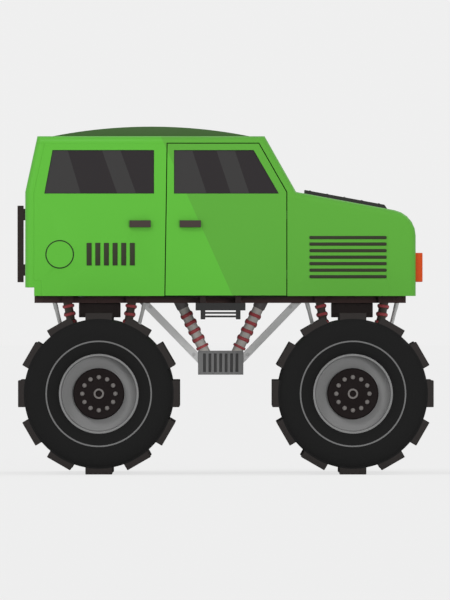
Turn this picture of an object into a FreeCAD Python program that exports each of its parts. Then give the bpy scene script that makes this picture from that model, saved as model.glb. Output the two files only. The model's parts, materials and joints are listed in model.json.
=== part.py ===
import FreeCAD, Part
import os
from math import cos, pi, radians, sin, tan

# A monster truck: a steel off-road body with two side doors and a rear door on a ladder frame,
# two steered axles, coil-over dampers and very large lugged tyres. Millimetres. +X is forward, +Y
# the driver's left, +Z up. The origin is on the ground, midway between the axles.

V = FreeCAD.Vector
os.makedirs("parts", exist_ok=True)

# ---------------------------------------------------------------- wheels and axles
WHEELBASE = 2640.0
TRACK = 2650.0               # between the wheels' middle planes
TYRE_RADIUS = 838.0          # to the flat tips of the lugs, so also the axle's height
TYRE_WIDTH = 1090.0
CARCASS_RADIUS = 778.0       # tread between the lugs
SHOULDER_DROP = 26.0         # carcass radius lost at the shoulder
SHOULDER_WIDTH = 90.0
SIDEWALL_BULGE_RADIUS = 620.0
BEAD_RADIUS = 415.0
BEAD_WIDTH = 900.0           # across the tyre's beads, also the rim's width
LUG_COUNT = 12
WHEEL_FLAT_COUNT = 24        # narrow flats round a tyre or rim, two to each lug
LUG_WIDTH = 278.0
LUG_ROOT = 18.0              # how far a lug's foot sinks into the carcass
LUG_END_SLOPE = 70.0         # a lug's tip from the sidewall's widest point
RIM_WALL = 22.0
RIM_DISC_THICKNESS = 34.0
RIM_DISC_OFFSET = 250.0      # disc's outer face, outboard of the wheel's middle plane
HUB_RADIUS = 266.0
HUB_HEIGHT = 70.0            # planetary hub cover, outboard of the disc
HUB_BOSS_RADIUS = 120.0
HUB_RING_RADIUS = 54.0
HUB_RING_HEIGHT = 18.0
SPINDLE_RADIUS = 60.0
SPINDLE_END_GAP = 0.3
SPINDLE_REACH = 36.0         # past the disc's outer face, into the hub cover
HUB_BOSS_LENGTH = 150.0
RUNNING_GAP = 0.3            # between a pin or spindle and its bore
DRUM_RADIUS = 190.0
DRUM_WIDTH = 110.0
DRUM_DISTANCE = 880.0        # drum's inner face from the centre plane

KINGPIN_DISTANCE = 700.0     # kingpins from the centre plane
KINGPIN_RADIUS = 30.0
KNUCKLE_HALF = 62.0          # half the width of the knuckle's squared body
KNUCKLE_HEIGHT = 250.0
YOKE_EAR_HALF = 66.0
YOKE_EAR_CORNER = 34.0
YOKE_EAR_THICKNESS = 46.0
EAR_GAP = 0.3                # between the knuckle's barrel and each ear
YOKE_WEB_DISTANCE = 585.0    # yoke's upright web from the centre plane
YOKE_WEB_THICKNESS = 50.0
AXLE_TUBE_RADIUS = 74.0
DIFF_RADIUS = 190.0
DIFF_HALF_WIDTH = 150.0
DIFF_RIM_HALF_WIDTH = 60.0
DIFF_END_RADIUS = 114.0
DIFF_NOSE_RADIUS = 95.0
DIFF_NOSE_REACH = 270.0
ARM_LENGTH = 280.0           # steering arm, kingpin to tie-rod pin
ARM_WIDTH = 60.0
ARM_THICKNESS = 36.0
ARM_DROP = 104.0             # arm's middle below the axle's centre line
TIE_PIN_RADIUS = 15.0
TIE_EYE_RADIUS = 36.0
TIE_EYE_HEIGHT = 50.0
TIE_ROD_RADIUS = 22.0
TUBE_FLAT_COUNT = 12         # flats round a pin, drum or lamp
BAR_FLAT_COUNT = 8           # flats round a stay, damper or tie rod

# ---------------------------------------------------------------- ladder frame
FRAME_BOTTOM = 1781.0
FRAME_DEPTH = 73.0
REAR_X = -2093.0
FRAME_REAR_INSET = 93.0
FRAME_REAR = REAR_X + FRAME_REAR_INSET
FRAME_FRONT = 1881.0
RAIL_DISTANCE = 360.0        # rail's middle from the centre plane
RAIL_WIDTH = 120.0
CRADLE_LENGTH = 434.0        # bump-stop box over each axle
CRADLE_HALF_WIDTH = 300.0
CRADLE_BOTTOM_DROP = 151.0
CRADLE_BOTTOM = FRAME_BOTTOM - CRADLE_BOTTOM_DROP
TOW_BORE_RADIUS = 16.0
END_MEMBER = 120.0           # length along x of the members at the frame's ends
AXLE_MEMBER = 160.0
DAMPER_MEMBER = 120.0
DAMPER_MEMBER_HALF_WIDTH = 530.0
STEP_MEMBER = 60.0

# ---------------------------------------------------------------- body shell
SILL = FRAME_BOTTOM + FRAME_DEPTH
BODY_HALF_WIDTH = 900.0
BODY_DEPTH = 1086.0          # sill to the windscreen's foot
COWL_Z = SILL + BODY_DEPTH
CABIN_HEIGHT = 581.0         # windscreen's foot to the roof
ROOF = COWL_Z + CABIN_HEIGHT
SIDE_LEAN = 2.9              # degrees that each side leans in
EDGE_RADIUS = 70.0
WALL = 75.0
PANEL_GAP = 10.0             # round doors and lids
REAR_NOTCH_TOP_RISE = 89.0
REAR_NOTCH_TOP = SILL + REAR_NOTCH_TOP_RISE
REAR_NOTCH_INSET = 94.0
REAR_NOTCH_X = REAR_X + REAR_NOTCH_INSET
REAR_KINK_DROP = 1.0
REAR_KINK = COWL_Z - REAR_KINK_DROP
REAR_ROOF_INSET = 127.0
REAR_ROOF_X = REAR_X + REAR_ROOF_INSET
ROOF_FRONT_X = 404.0
COWL_X = 733.0
BONNET_SLOPE = 10.5          # degrees
NOSE_X = 1980.0
NOSE_RADIUS = 271.0
NOSE_CHORD_COUNT = 5         # flats round the nose
FLOOR_THICKNESS = 50.0
FIREWALL_THICKNESS = 40.0
FIREWALL_X = 690.0           # firewall's rear face
DOOR_INNER_MARGIN = 200.0
DOOR_INNER = BODY_HALF_WIDTH - DOOR_INNER_MARGIN    # no door reaches nearer the centre plane than this
REAR_PANEL_LAP = 17.0        # rear panel's seam, ahead of the rear wall's inner face
COWL_DEPTH = 80.0            # cowl panel's seam below the windscreen's foot
BONNET_DRAFT = 8.0           # degrees, so the bonnet's front edge swings clear
CAP_REAR_INSET = 282.0
CAP_REAR_X = REAR_X + CAP_REAR_INSET
CAP_FRONT_X = 251.0
CAP_RISE = 104.0
CAP_CROSS_RISE = 140.0       # of the arc across the roof, flattened on top by the arc along it
CAP_HALF_WIDTH_MARGIN = 260.0
CAP_HALF_WIDTH = BODY_HALF_WIDTH - CAP_HALF_WIDTH_MARGIN

DOOR_REAR_TOP_X = -613.0
DOOR_REAR_SILL_X = -636.0
DOOR_TOP_DROP = 73.0
DOOR_TOP = ROOF - DOOR_TOP_DROP
DOOR_FRONT_TOP_X = 345.0
DOOR_FRONT_X = 636.0
DOOR_FRONT_KINK_DROP = 3.0
DOOR_FRONT_KINK = COWL_Z - DOOR_FRONT_KINK_DROP
WINDOW_SILL_DROP = 18.0
WINDOW_SILL = COWL_Z - WINDOW_SILL_DROP
WINDOW_TOP_DROP = 145.0
WINDOW_TOP = ROOF - WINDOW_TOP_DROP
DOOR_WINDOW_REAR_X = -541.0
DOOR_WINDOW_TOP_X = 290.0
DOOR_WINDOW_SILL_X = 553.0
QUARTER_WINDOW_TOP_INSET = 285.0
QUARTER_WINDOW_TOP_X = REAR_X + QUARTER_WINDOW_TOP_INSET
QUARTER_WINDOW_SILL_INSET = 199.0
QUARTER_WINDOW_SILL_X = REAR_X + QUARTER_WINDOW_SILL_INSET
QUARTER_WINDOW_FRONT_X = -749.0
GLASS_INSET = 14.0
GLASS_THICKNESS = 8.0
REAR_DOOR_HALF_WIDTH_MARGIN = 310.0
REAR_DOOR_HALF_WIDTH = BODY_HALF_WIDTH - REAR_DOOR_HALF_WIDTH_MARGIN
REAR_DOOR_BOTTOM_RISE = 176.0
REAR_DOOR_BOTTOM = SILL + REAR_DOOR_BOTTOM_RISE
REAR_DOOR_TOP_DROP = 121.0
REAR_DOOR_TOP = ROOF - REAR_DOOR_TOP_DROP
REAR_DOOR_DRAFT = 10.0       # degrees, so the latch edge swings clear
REAR_WINDOW_HALF_WIDTH_MARGIN = 140.0
REAR_WINDOW_HALF_WIDTH = REAR_DOOR_HALF_WIDTH - REAR_WINDOW_HALF_WIDTH_MARGIN
REAR_WINDOW_SILL_RISE = 20.0
REAR_WINDOW_SILL = COWL_Z + REAR_WINDOW_SILL_RISE
REAR_WINDOW_TOP_DROP = 186.0
REAR_WINDOW_TOP = ROOF - REAR_WINDOW_TOP_DROP
SCREEN_HALF_WIDTH_MARGIN = 240.0
SCREEN_HALF_WIDTH = BODY_HALF_WIDTH - SCREEN_HALF_WIDTH_MARGIN
SCREEN_BOTTOM_RISE = 65.0
SCREEN_BOTTOM = COWL_Z + SCREEN_BOTTOM_RISE
SCREEN_TOP_DROP = 116.0
SCREEN_TOP = ROOF - SCREEN_TOP_DROP
BONNET_REAR_X = 800.0
BONNET_FRONT_X = 1700.0
BONNET_HALF_WIDTH_MARGIN = 155.0
BONNET_HALF_WIDTH = BODY_HALF_WIDTH - BONNET_HALF_WIDTH_MARGIN
BONNET_PLATE_REAR_X = 822.0
BONNET_PLATE_FRONT_X = 1688.0
BONNET_PLATE_HALF_WIDTH = 430.0
BONNET_PLATE_THICKNESS = 39.0
BONNET_PLATE_END_SLANT = 30.0
HINGE_RECESS = 10.0          # hinge lugs lie this far under the skin, in the panel gap
HINGE_DEPTH = 16.0
HINGE_LENGTH = 90.0
DOOR_HINGE_DROPS = (860.0, 240.0)
DOOR_HINGES = tuple(COWL_Z - drop for drop in DOOR_HINGE_DROPS)
REAR_DOOR_HINGE_DROPS = (740.0, 140.0)
REAR_DOOR_HINGES = tuple(COWL_Z - drop for drop in REAR_DOOR_HINGE_DROPS)
BONNET_HINGES = (-600.0, 600.0)

GRILLE_HALF_WIDTH_MARGIN = 500.0
GRILLE_HALF_WIDTH = BODY_HALF_WIDTH - GRILLE_HALF_WIDTH_MARGIN
GRILLE_BOTTOM_DROP = 880.0
GRILLE_BOTTOM = COWL_Z - GRILLE_BOTTOM_DROP
GRILLE_TOP_DROP = 520.0
GRILLE_TOP = COWL_Z - GRILLE_TOP_DROP
GRILLE_BAR_COUNT = 5
GRILLE_BAR_HEIGHT = 26.0
GRILLE_BORDER = 24.0
GRILLE_DEPTH = 50.0
HEADLAMP_DISTANCE_MARGIN = 370.0
HEADLAMP_DISTANCE = BODY_HALF_WIDTH - HEADLAMP_DISTANCE_MARGIN
HEADLAMP_DROP = 640.0
HEADLAMP_Z = COWL_Z - HEADLAMP_DROP
HEADLAMP_RADIUS = 98.0
HEADLAMP_DEPTH = 40.0
MARKER_INNER_MARGIN = 220.0
MARKER_INNER = BODY_HALF_WIDTH - MARKER_INNER_MARGIN
MARKER_WIDTH = 110.0
MARKER_BOTTOM_DROP = 939.0
MARKER_BOTTOM = COWL_Z - MARKER_BOTTOM_DROP
MARKER_TOP_DROP = 636.0
MARKER_TOP = COWL_Z - MARKER_TOP_DROP
MARKER_PROUD = 72.0
TAIL_INNER_MARGIN = 240.0
TAIL_INNER = BODY_HALF_WIDTH - TAIL_INNER_MARGIN
TAIL_WIDTH = 120.0
TAIL_BOTTOM_DROP = 820.0
TAIL_BOTTOM = COWL_Z - TAIL_BOTTOM_DROP
TAIL_TOP_DROP = 460.0
TAIL_TOP = COWL_Z - TAIL_TOP_DROP
LAMP_SEAT_DEPTH = 25.0

TRIM_DEPTH = 12.0
TRIM_PROUD = 6.0
LOUVRE_REAR_FIRST_X = -1426.0
LOUVRE_REAR_PITCH = 90.2
LOUVRE_REAR_COUNT = 6
LOUVRE_REAR_WIDTH = 52.0
LOUVRE_REAR_BOTTOM_DROP = 768.0
LOUVRE_REAR_BOTTOM = COWL_Z - LOUVRE_REAR_BOTTOM_DROP
LOUVRE_REAR_TOP_DROP = 532.0
LOUVRE_REAR_TOP = COWL_Z - LOUVRE_REAR_TOP_DROP
LOUVRE_FRONT_REAR_X = 871.0
LOUVRE_FRONT_X = 1677.0
LOUVRE_FRONT_TOP_DROP = 477.0
LOUVRE_FRONT_TOP = COWL_Z - LOUVRE_FRONT_TOP_DROP
LOUVRE_FRONT_PITCH = 68.0
LOUVRE_FRONT_COUNT = 7
LOUVRE_FRONT_HEIGHT = 34.0
HANDLE_LENGTH = 222.0
HANDLE_HEIGHT = 73.0
HANDLE_MIDDLE_DROP = 333.0
HANDLE_MIDDLE_Z = COWL_Z - HANDLE_MIDDLE_DROP
HANDLE_QUARTER_X = -894.0
HANDLE_DOOR_X = -370.0
HANDLE_BAR = 18.0
HANDLE_REACH = 52.0
HANDLE_FOOT = 34.0
FLAP_INSET = 360.0
FLAP_X = REAR_X + FLAP_INSET
FLAP_DROP = 648.0
FLAP_Z = COWL_Z - FLAP_DROP
FLAP_RADIUS = 151.0
FLAP_PROUD = 3.0
FLAP_FLAT_COUNT = 24

LADDER_RAIL_DEPTH = 61.0
LADDER_RAIL_WIDTH = 42.0
LADDER_STAND_OFF = 26.0
LADDER_BOTTOM_DROP = 942.0
LADDER_BOTTOM = COWL_Z - LADDER_BOTTOM_DROP
LADDER_LOW_FOOT_DROP = 874.0
LADDER_LOW_FOOT = COWL_Z - LADDER_LOW_FOOT_DROP
LADDER_HIGH_FOOT_DROP = 293.0
LADDER_HIGH_FOOT = COWL_Z - LADDER_HIGH_FOOT_DROP
LADDER_TOP_DROP = 141.0
LADDER_TOP = COWL_Z - LADDER_TOP_DROP
LADDER_HALF_WIDTH = 190.0    # middle of a rail from the centre plane
LADDER_RUNG = 34.0
LADDER_RUNG_COUNT = 4
LADDER_FOOT_HEIGHT = 120.0

# ---------------------------------------------------------------- gearbox, dampers, steps
GEARBOX_REAR = -291.0
GEARBOX_FRONT = 183.0
GEARBOX_BOTTOM = 1031.0
GEARBOX_TOP = 1281.0
GEARBOX_HALF_WIDTH = 372.0
SLOT_COUNT = 7
SLOT_PITCH = 56.5
SLOT_WIDTH = 28.0
SLOT_DEPTH = 22.0
SLOT_MARGIN = 28.0
BRACE_THICKNESS = 74.0
BRACE_WIDTH = 50.0
BRACE_SPARE = 200.0          # length cut off each end of a brace, level or upright
BRACE_DISTANCE = 330.0
BRACE_REAR_X = -851.0
BRACE_FRONT_X = 737.0
BRACE_FOOT_Z = 1206.0
CENTRE_DAMPER_RADIUS = 40.0
CENTRE_COIL_RADIUS = 55.0
CENTRE_WIRE = 20.0
CENTRE_COIL_COUNT = 4
CENTRE_COIL_PITCH = 92.0
CENTRE_COIL_START = 118.0
CORNER_DAMPER_DISTANCE = 470.0
CORNER_DAMPER_RADIUS = 44.0
CORNER_TOP_OFFSET = 334.0    # from the axle, at the frame
CORNER_FOOT_OFFSET = 184.0   # from the axle, at the spring seat
CORNER_COIL_RADIUS = 56.0
CORNER_WIRE = 16.0
CORNER_COIL_COUNT = 5
CORNER_COIL_PITCH = 90.0
CORNER_COIL_START = 40.0
COIL_STEP_COUNT = BAR_FLAT_COUNT     # straight stretches in a turn
PERCH_THICKNESS = 14.0
PERCH_GAP = 0.3              # between a spring's end and its perch
SEAT_Z = 900.0               # spring seats on the axles
SEAT_THICKNESS = 40.0
SEAT_INNER = 350.0
SEAT_OUTER = 530.0
SEAT_HALF_LENGTH = 275.0
SEAT_RIB_INNER = 420.0
SEAT_RIB_WIDTH = 40.0
CENTRE_DISTANCE = 330.0      # centre dampers from the centre plane
CENTRE_TOP_REAR_X = -466.0
CENTRE_FOOT_REAR_X = -220.0
CENTRE_TOP_FRONT_X = 361.0
CENTRE_FOOT_FRONT_X = 115.0
LINK_DISTANCE = 395.0
LINK_RADIUS = 21.0
LINK_TOP_OFFSET = 470.0
LINK_FOOT_OFFSET = 245.0
STEP_REAR = -316.0
STEP_FRONT = 205.0
STEP_BRACKET_BOTTOM_DROP = 78.0
STEP_BRACKET_BOTTOM = FRAME_BOTTOM - STEP_BRACKET_BOTTOM_DROP
STEP_OUTER_MARGIN = 28.0
STEP_OUTER = BODY_HALF_WIDTH - STEP_OUTER_MARGIN
STEP_WIDTH = 72.0
STEP_POST_REAR = -264.0
STEP_POST_FRONT = 153.0
STEP_POST_LENGTH = 48.0
STEP_BOTTOM_DROP = 171.0
STEP_BOTTOM = FRAME_BOTTOM - STEP_BOTTOM_DROP
STEP_RUNG_HEIGHT = 19.0
STEP_RUNG_DROPS = (104.0, 141.0)
STEP_RUNGS = tuple(FRAME_BOTTOM - drop for drop in STEP_RUNG_DROPS)

# ---------------------------------------------------------------- cab inside and engine
SEAT_HEIGHT = 520.0
SEAT_LENGTH = 520.0
SEAT_BACK_THICKNESS = 150.0
SEAT_BACK_TOP_RISE = 120.0
SEAT_BACK_TOP = COWL_Z + SEAT_BACK_TOP_RISE
SEAT_WIDTH = 520.0
BENCH_WIDTH = 1300.0
SEAT_FRONT_X = -300.0        # rear face of the front seats
SEAT_SPACING = 400.0
BENCH_X = -1500.0
SEAT_BACK_RAKE = 70.0
DASH_DEPTH = 170.0
DASH_BOTTOM_DROP = 420.0
DASH_BOTTOM = COWL_Z - DASH_BOTTOM_DROP
DASH_TOP_DROP = 110.0
DASH_TOP = COWL_Z - DASH_TOP_DROP
DASH_HALF_WIDTH_MARGIN = 180.0
DASH_HALF_WIDTH = BODY_HALF_WIDTH - DASH_HALF_WIDTH_MARGIN
STEERING_WHEEL_RADIUS = 190.0
STEERING_WHEEL_RIM = 30.0
STEERING_WHEEL_REACH = 210.0
COLUMN_RAKE = 25.0           # degrees above level
COLUMN_RADIUS = 24.0
COLUMN_ROOT = 40.0
STEERING_SPOKE_RADIUS = 12.0
ENGINE_REAR = 930.0
ENGINE_LENGTH = 660.0
ENGINE_HALF_WIDTH = 250.0
ENGINE_HEIGHT = 600.0

AXLE_X = WHEELBASE / 2
WHEEL_Z = TYRE_RADIUS
FAR = 4000.0                 # longer than anything that a cutting block has to pass through
LEAN = tan(radians(SIDE_LEAN))


# ---------------------------------------------------------------- shapes
def block(x0, x1, y0, y1, z0, z1):
    """A box between two corners."""
    return Part.makeBox(x1 - x0, y1 - y0, z1 - z0, V(x0, y0, z0))


def side_prism(points, y0, y1):
    """An outline of (x, z) points, drawn from the side and carried from y0 to y1."""
    wire = Part.makePolygon([V(x, y0, z) for x, z in points + points[:1]])
    return Part.Face(wire).extrude(V(0, y1 - y0, 0))


def plan_prism(points, z0, z1):
    """An outline of (x, y) points, drawn from above and carried from z0 to z1."""
    wire = Part.makePolygon([V(x, y, z0) for x, y in points + points[:1]])
    return Part.Face(wire).extrude(V(0, 0, z1 - z0))


def rod(start, end, radius):
    """A round bar from one point to another."""
    return Part.makeCylinder(radius, (end - start).Length, start, end - start)


def flat_bar(start, end, radius, flats=BAR_FLAT_COUNT):
    """A straight bar whose section is a regular outline, its corners at radius."""
    along = (end - start).normalize()
    across = V(0, 0, 1) if abs(along.y) > cos(pi / 4) else V(0, 1, 0)
    first = along.cross(across).normalize()
    second = along.cross(first)
    corners = []
    for number in range(flats):
        angle = (number + 0.5) * 2 * pi / flats
        corners.append(start + first * (radius * cos(angle)) + second * (radius * sin(angle)))
    return Part.Face(Part.makePolygon(corners + corners[:1])).extrude(end - start)


def closed_solid(outlines):
    """The solid inside a closed set of flat faces."""
    shell = Part.makeShell([Part.Face(Part.makePolygon(points + points[:1])) for points in outlines])
    shell.sewShape()
    solid = Part.Solid(shell)
    if solid.Volume < 0:
        solid.reverse()
    return solid


def turned(points, centre, outboard, flats=WHEEL_FLAT_COUNT):
    """A ring or disc about the wheel's line in narrow flats: (distance outboard, radius) points."""
    outlines = []
    for first, second in zip(points, points[1:] + points[:1]):
        for number in range(flats):
            corners = []
            after = number + 1
            places = ((first, number), (second, number), (second, after), (first, after))
            for (reach, radius), place in places:
                angle = (place + 0.5) * 2 * pi / flats
                corner = centre + V(radius * sin(angle), reach * outboard, -radius * cos(angle))
                if all(not corner.isEqual(other, RUNNING_GAP / 100) for other in corners):
                    corners.append(corner)
            if len(corners) > 2:
                outlines.append(corners)
    return closed_solid(outlines).removeSplitter()


def joined(shapes):
    """Several overlapping shapes as one solid."""
    return shapes[0].multiFuse(shapes[1:]).removeSplitter() if len(shapes) > 1 else shapes[0]


def group(shapes):
    """Like pieces that don't touch, kept as separate solids."""
    return Part.makeCompound([solid for shape in shapes for solid in shape.Solids])


def mirrored(shape):
    """The same shape on the other side of the centre plane."""
    return shape.mirror(V(0, 0, 0), V(0, 1, 0))


def both_sides(shape):
    return group([shape, mirrored(shape)])


def fore_and_aft(shape):
    """The shape over the front axle and its twin over the rear axle."""
    return group([shape, shape.mirror(V(0, 0, 0), V(1, 0, 0))])


def save(name, shape):
    solids = shape.Solids
    (solids[0] if len(solids) == 1 else Part.makeCompound(solids)).exportStep("parts/%s.step" % name)


# ---------------------------------------------------------------- body shell
NOSE_CENTRE_X = NOSE_X - NOSE_RADIUS
SLOPE = radians(BONNET_SLOPE)


def bonnet_height(x):
    """Height of the bonnet's outer skin."""
    return COWL_Z - (x - COWL_X) * tan(SLOPE)


NOSE_CENTRE_Z = bonnet_height(NOSE_CENTRE_X) - NOSE_RADIUS / cos(SLOPE)


def nose_point(angle):
    return V(NOSE_CENTRE_X + NOSE_RADIUS * cos(angle), 0, NOSE_CENTRE_Z + NOSE_RADIUS * sin(angle))


def side_wire(chords):
    """The body's outline from the side, with so many flats round the nose."""
    corners = [
        V(REAR_NOTCH_X, 0, SILL),
        V(REAR_NOTCH_X, 0, REAR_NOTCH_TOP),
        V(REAR_X, 0, REAR_NOTCH_TOP),
        V(REAR_X, 0, REAR_KINK),
        V(REAR_ROOF_X, 0, ROOF),
        V(ROOF_FRONT_X, 0, ROOF),
        V(COWL_X, 0, COWL_Z),
    ]
    turn = pi / 2 - SLOPE
    corners += [nose_point(turn * (chords - number) / chords) for number in range(chords + 1)]
    corners.append(V(NOSE_X, 0, SILL))
    return Part.makePolygon(corners + corners[:1])


def lean_prism(half, low, high):
    """The space between two sides that lean in, where half is their distance at the sill."""
    low_half = half - (low - SILL) * LEAN
    high_half = half - (high - SILL) * LEAN
    corners = [(-low_half, low), (low_half, low), (high_half, high), (-high_half, high)]
    section = Part.Face(Part.makePolygon([V(-FAR, y, z) for y, z in corners + corners[:1]]))
    return section.extrude(V(2 * FAR, 0, 0))


def half_width(inset):
    """Half the body's width at the sill, inset square to its leaning sides."""
    return BODY_HALF_WIDTH - inset / cos(radians(SIDE_LEAN))


def body_form(inset):
    """The body's closed form, with every face moved inwards by inset."""
    wire = side_wire(1 if inset else NOSE_CHORD_COUNT)
    if inset:
        wire = wire.makeOffset2D(-inset, 2, False, False, True)
    face = Part.Face(wire)
    face.translate(V(0, -FAR / 2, 0))
    sides = lean_prism(half_width(inset), SILL - WALL, ROOF + WALL)
    return face.extrude(V(0, FAR, 0)).common(sides).Solids[0]


def foot_space(inset, rear, front, low, high):
    """A level slice of the space between the body's sides."""
    return block(rear, front, -FAR, FAR, low, high).common(lean_prism(half_width(inset), SILL - WALL, ROOF))


def rounded_form():
    """The outer form, the edges along its sides rounded."""
    form = body_form(0)
    edges = []
    for edge in form.Edges:
        ends = [vertex.Point for vertex in edge.Vertexes]
        above = max(point.z for point in ends) > REAR_NOTCH_TOP + PANEL_GAP
        along_side = ends[0].y * ends[-1].y > 0
        if above and along_side:
            edges.append(edge)
    return form.makeFillet(EDGE_RADIUS, edges).Solids[0]


OUTER = rounded_form()
INNER_REAR = REAR_NOTCH_X + WALL
INNER_FRONT = NOSE_X - WALL
CAVITY = body_form(WALL).fuse(foot_space(WALL, INNER_REAR, INNER_FRONT, SILL - WALL, SILL + 2 * WALL))
SHELL = OUTER.cut(CAVITY)
TRIM_LAYER = body_form(-TRIM_PROUD).cut(body_form(TRIM_DEPTH))
GLASS_LAYER = body_form(GLASS_INSET).cut(body_form(GLASS_INSET + GLASS_THICKNESS))
INNER_ROOF = ROOF - WALL
REAR_SEAM = WALL + REAR_PANEL_LAP
COWL_SEAM = COWL_Z - COWL_DEPTH
BONNET_EDGE = BONNET_HALF_WIDTH + PANEL_GAP / 2
NOSE_SEAM = BONNET_FRONT_X + PANEL_GAP
FLOOR_TOP = SILL + FLOOR_THICKNESS


def grown(points, distance):
    """A side outline moved outwards, or inwards where distance is negative."""
    wire = Part.makePolygon([V(x, 0, z) for x, z in points + points[:1]])
    wire = wire.makeOffset2D(distance, 2, False, False, True)
    face = Part.Face(wire)
    face.translate(V(0, -FAR, 0))
    return face.extrude(V(0, 2 * FAR, 0))


def right_half(shape, inner=DOOR_INNER):
    """What lies on the right of the centre plane, further out than inner."""
    return shape.common(block(-FAR, FAR, -FAR, -inner, -FAR, FAR))


DOOR_OUTLINE = [
    (DOOR_REAR_SILL_X, SILL),
    (DOOR_FRONT_X, SILL),
    (DOOR_FRONT_X, DOOR_FRONT_KINK),
    (DOOR_FRONT_TOP_X, DOOR_TOP),
    (DOOR_REAR_TOP_X, DOOR_TOP),
]
DOOR_WINDOW = [
    (DOOR_WINDOW_REAR_X, WINDOW_SILL),
    (DOOR_WINDOW_SILL_X, WINDOW_SILL),
    (DOOR_WINDOW_TOP_X, WINDOW_TOP),
    (DOOR_WINDOW_REAR_X, WINDOW_TOP),
]
QUARTER_WINDOW = [
    (QUARTER_WINDOW_SILL_X, WINDOW_SILL),
    (QUARTER_WINDOW_FRONT_X, WINDOW_SILL),
    (QUARTER_WINDOW_FRONT_X, WINDOW_TOP),
    (QUARTER_WINDOW_TOP_X, WINDOW_TOP),
]
door_opening = both_sides(right_half(grown(DOOR_OUTLINE, PANEL_GAP / 2)))
door_window = side_prism(DOOR_WINDOW, -FAR, FAR)
quarter_window = side_prism(QUARTER_WINDOW, -FAR, FAR)


def screen_opening(half, bottom, top, rear, front):
    """A window opening that narrows upwards with the body's sides, cut fore and aft."""
    corners = [(-half, bottom), (half, bottom)]
    top_half = half - (top - bottom) * LEAN
    corners += [(top_half, top), (-top_half, top)]
    face = Part.Face(Part.makePolygon([V(rear, y, z) for y, z in corners + corners[:1]]))
    return face.extrude(V(front - rear, 0, 0))


windscreen_opening = screen_opening(SCREEN_HALF_WIDTH, SCREEN_BOTTOM, SCREEN_TOP, 0, COWL_X)
rear_window_opening = screen_opening(
    REAR_WINDOW_HALF_WIDTH, REAR_WINDOW_SILL, REAR_WINDOW_TOP, REAR_X, REAR_X + 3 * WALL)


def rear_door_block(offset):
    """The rear door's space in the rear wall; its upright edges narrow inwards."""
    half = REAR_DOOR_HALF_WIDTH + offset
    draft = 3 * WALL * tan(radians(REAR_DOOR_DRAFT))
    outline = [
        (REAR_X - 3 * WALL, -half - draft),
        (REAR_X + 3 * WALL, -half + draft),
        (REAR_X + 3 * WALL, half - draft),
        (REAR_X - 3 * WALL, half + draft),
    ]
    return plan_prism(outline, REAR_DOOR_BOTTOM - offset, REAR_DOOR_TOP + offset)


def bonnet_block(offset):
    """The bonnet's space in the body's top; its front edge narrows downwards."""
    rear = BONNET_REAR_X - offset
    front = BONNET_FRONT_X + offset
    draft = 2 * WALL * tan(radians(BONNET_DRAFT))
    middle = bonnet_height(BONNET_FRONT_X)
    outline = [
        (rear, middle - 2 * WALL),
        (front - draft, middle - 2 * WALL),
        (front + draft, middle + 2 * WALL),
        (rear, middle + 4 * WALL),
    ]
    return side_prism(outline, -BONNET_HALF_WIDTH - offset, BONNET_HALF_WIDTH + offset)


# ---------------------------------------------------------------- roof, side and end panels
def roof():
    slab = SHELL.common(block(-FAR, FAR, -FAR, FAR, INNER_ROOF, FAR))
    return slab.cut(door_opening)


def arch_face(start, end, rise_to):
    """The face between a level line and the arc that rises over it."""
    arc = Part.Arc(start, rise_to, end).toShape()
    return Part.Face(Part.Wire([arc, Part.LineSegment(end, start).toShape()]))


def roof_cap():
    """A shallow dome over the roof, curved along and across."""
    middle = (CAP_REAR_X + CAP_FRONT_X) / 2
    along = arch_face(
        V(CAP_REAR_X, -FAR, ROOF), V(CAP_FRONT_X, -FAR, ROOF), V(middle, -FAR, ROOF + CAP_RISE))
    across = arch_face(
        V(-FAR, -CAP_HALF_WIDTH, ROOF), V(-FAR, CAP_HALF_WIDTH, ROOF), V(-FAR, 0, ROOF + CAP_CROSS_RISE))
    return along.extrude(V(0, 2 * FAR, 0)).common(across.extrude(V(2 * FAR, 0, 0)))


rear_region = side_prism([
    (-FAR, 0),
    (INNER_REAR, 0),
    (INNER_REAR, REAR_NOTCH_TOP + WALL),
    (REAR_X + REAR_SEAM, REAR_NOTCH_TOP + WALL),
    (REAR_X + REAR_SEAM, REAR_KINK),
    (REAR_ROOF_X + REAR_SEAM, ROOF),
    (-FAR, ROOF),
], -FAR, FAR)
below_roof = block(-FAR, FAR, -FAR, FAR, 0, INNER_ROOF)
tail_lamp_seat = both_sides(block(
    REAR_X, REAR_X + LAMP_SEAT_DEPTH, -TAIL_INNER - TAIL_WIDTH, -TAIL_INNER, TAIL_BOTTOM, TAIL_TOP))


def rear_frame():
    """The rear wall round the rear door, with its lamps' seats."""
    wall = SHELL.common(rear_region).common(below_roof)
    return wall.cut(rear_door_block(PANEL_GAP / 2)).cut(tail_lamp_seat)


def upright_louvres():
    """Upright slats in the quarter panels."""
    slats = []
    for number in range(LOUVRE_REAR_COUNT):
        x = LOUVRE_REAR_FIRST_X + number * LOUVRE_REAR_PITCH
        slats.append(block(x - LOUVRE_REAR_WIDTH / 2, x + LOUVRE_REAR_WIDTH / 2, -FAR, FAR,
                           LOUVRE_REAR_BOTTOM, LOUVRE_REAR_TOP).common(TRIM_LAYER))
    return slats


def level_louvres():
    """Level slats in the front wings."""
    slats = []
    for number in range(LOUVRE_FRONT_COUNT):
        z = LOUVRE_FRONT_TOP - number * LOUVRE_FRONT_PITCH
        slats.append(block(LOUVRE_FRONT_REAR_X, LOUVRE_FRONT_X, -FAR, FAR,
                           z - LOUVRE_FRONT_HEIGHT / 2, z + LOUVRE_FRONT_HEIGHT / 2).common(TRIM_LAYER))
    return slats


UPRIGHT_LOUVRES = group(upright_louvres())
LEVEL_LOUVRES = group(level_louvres())


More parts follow.
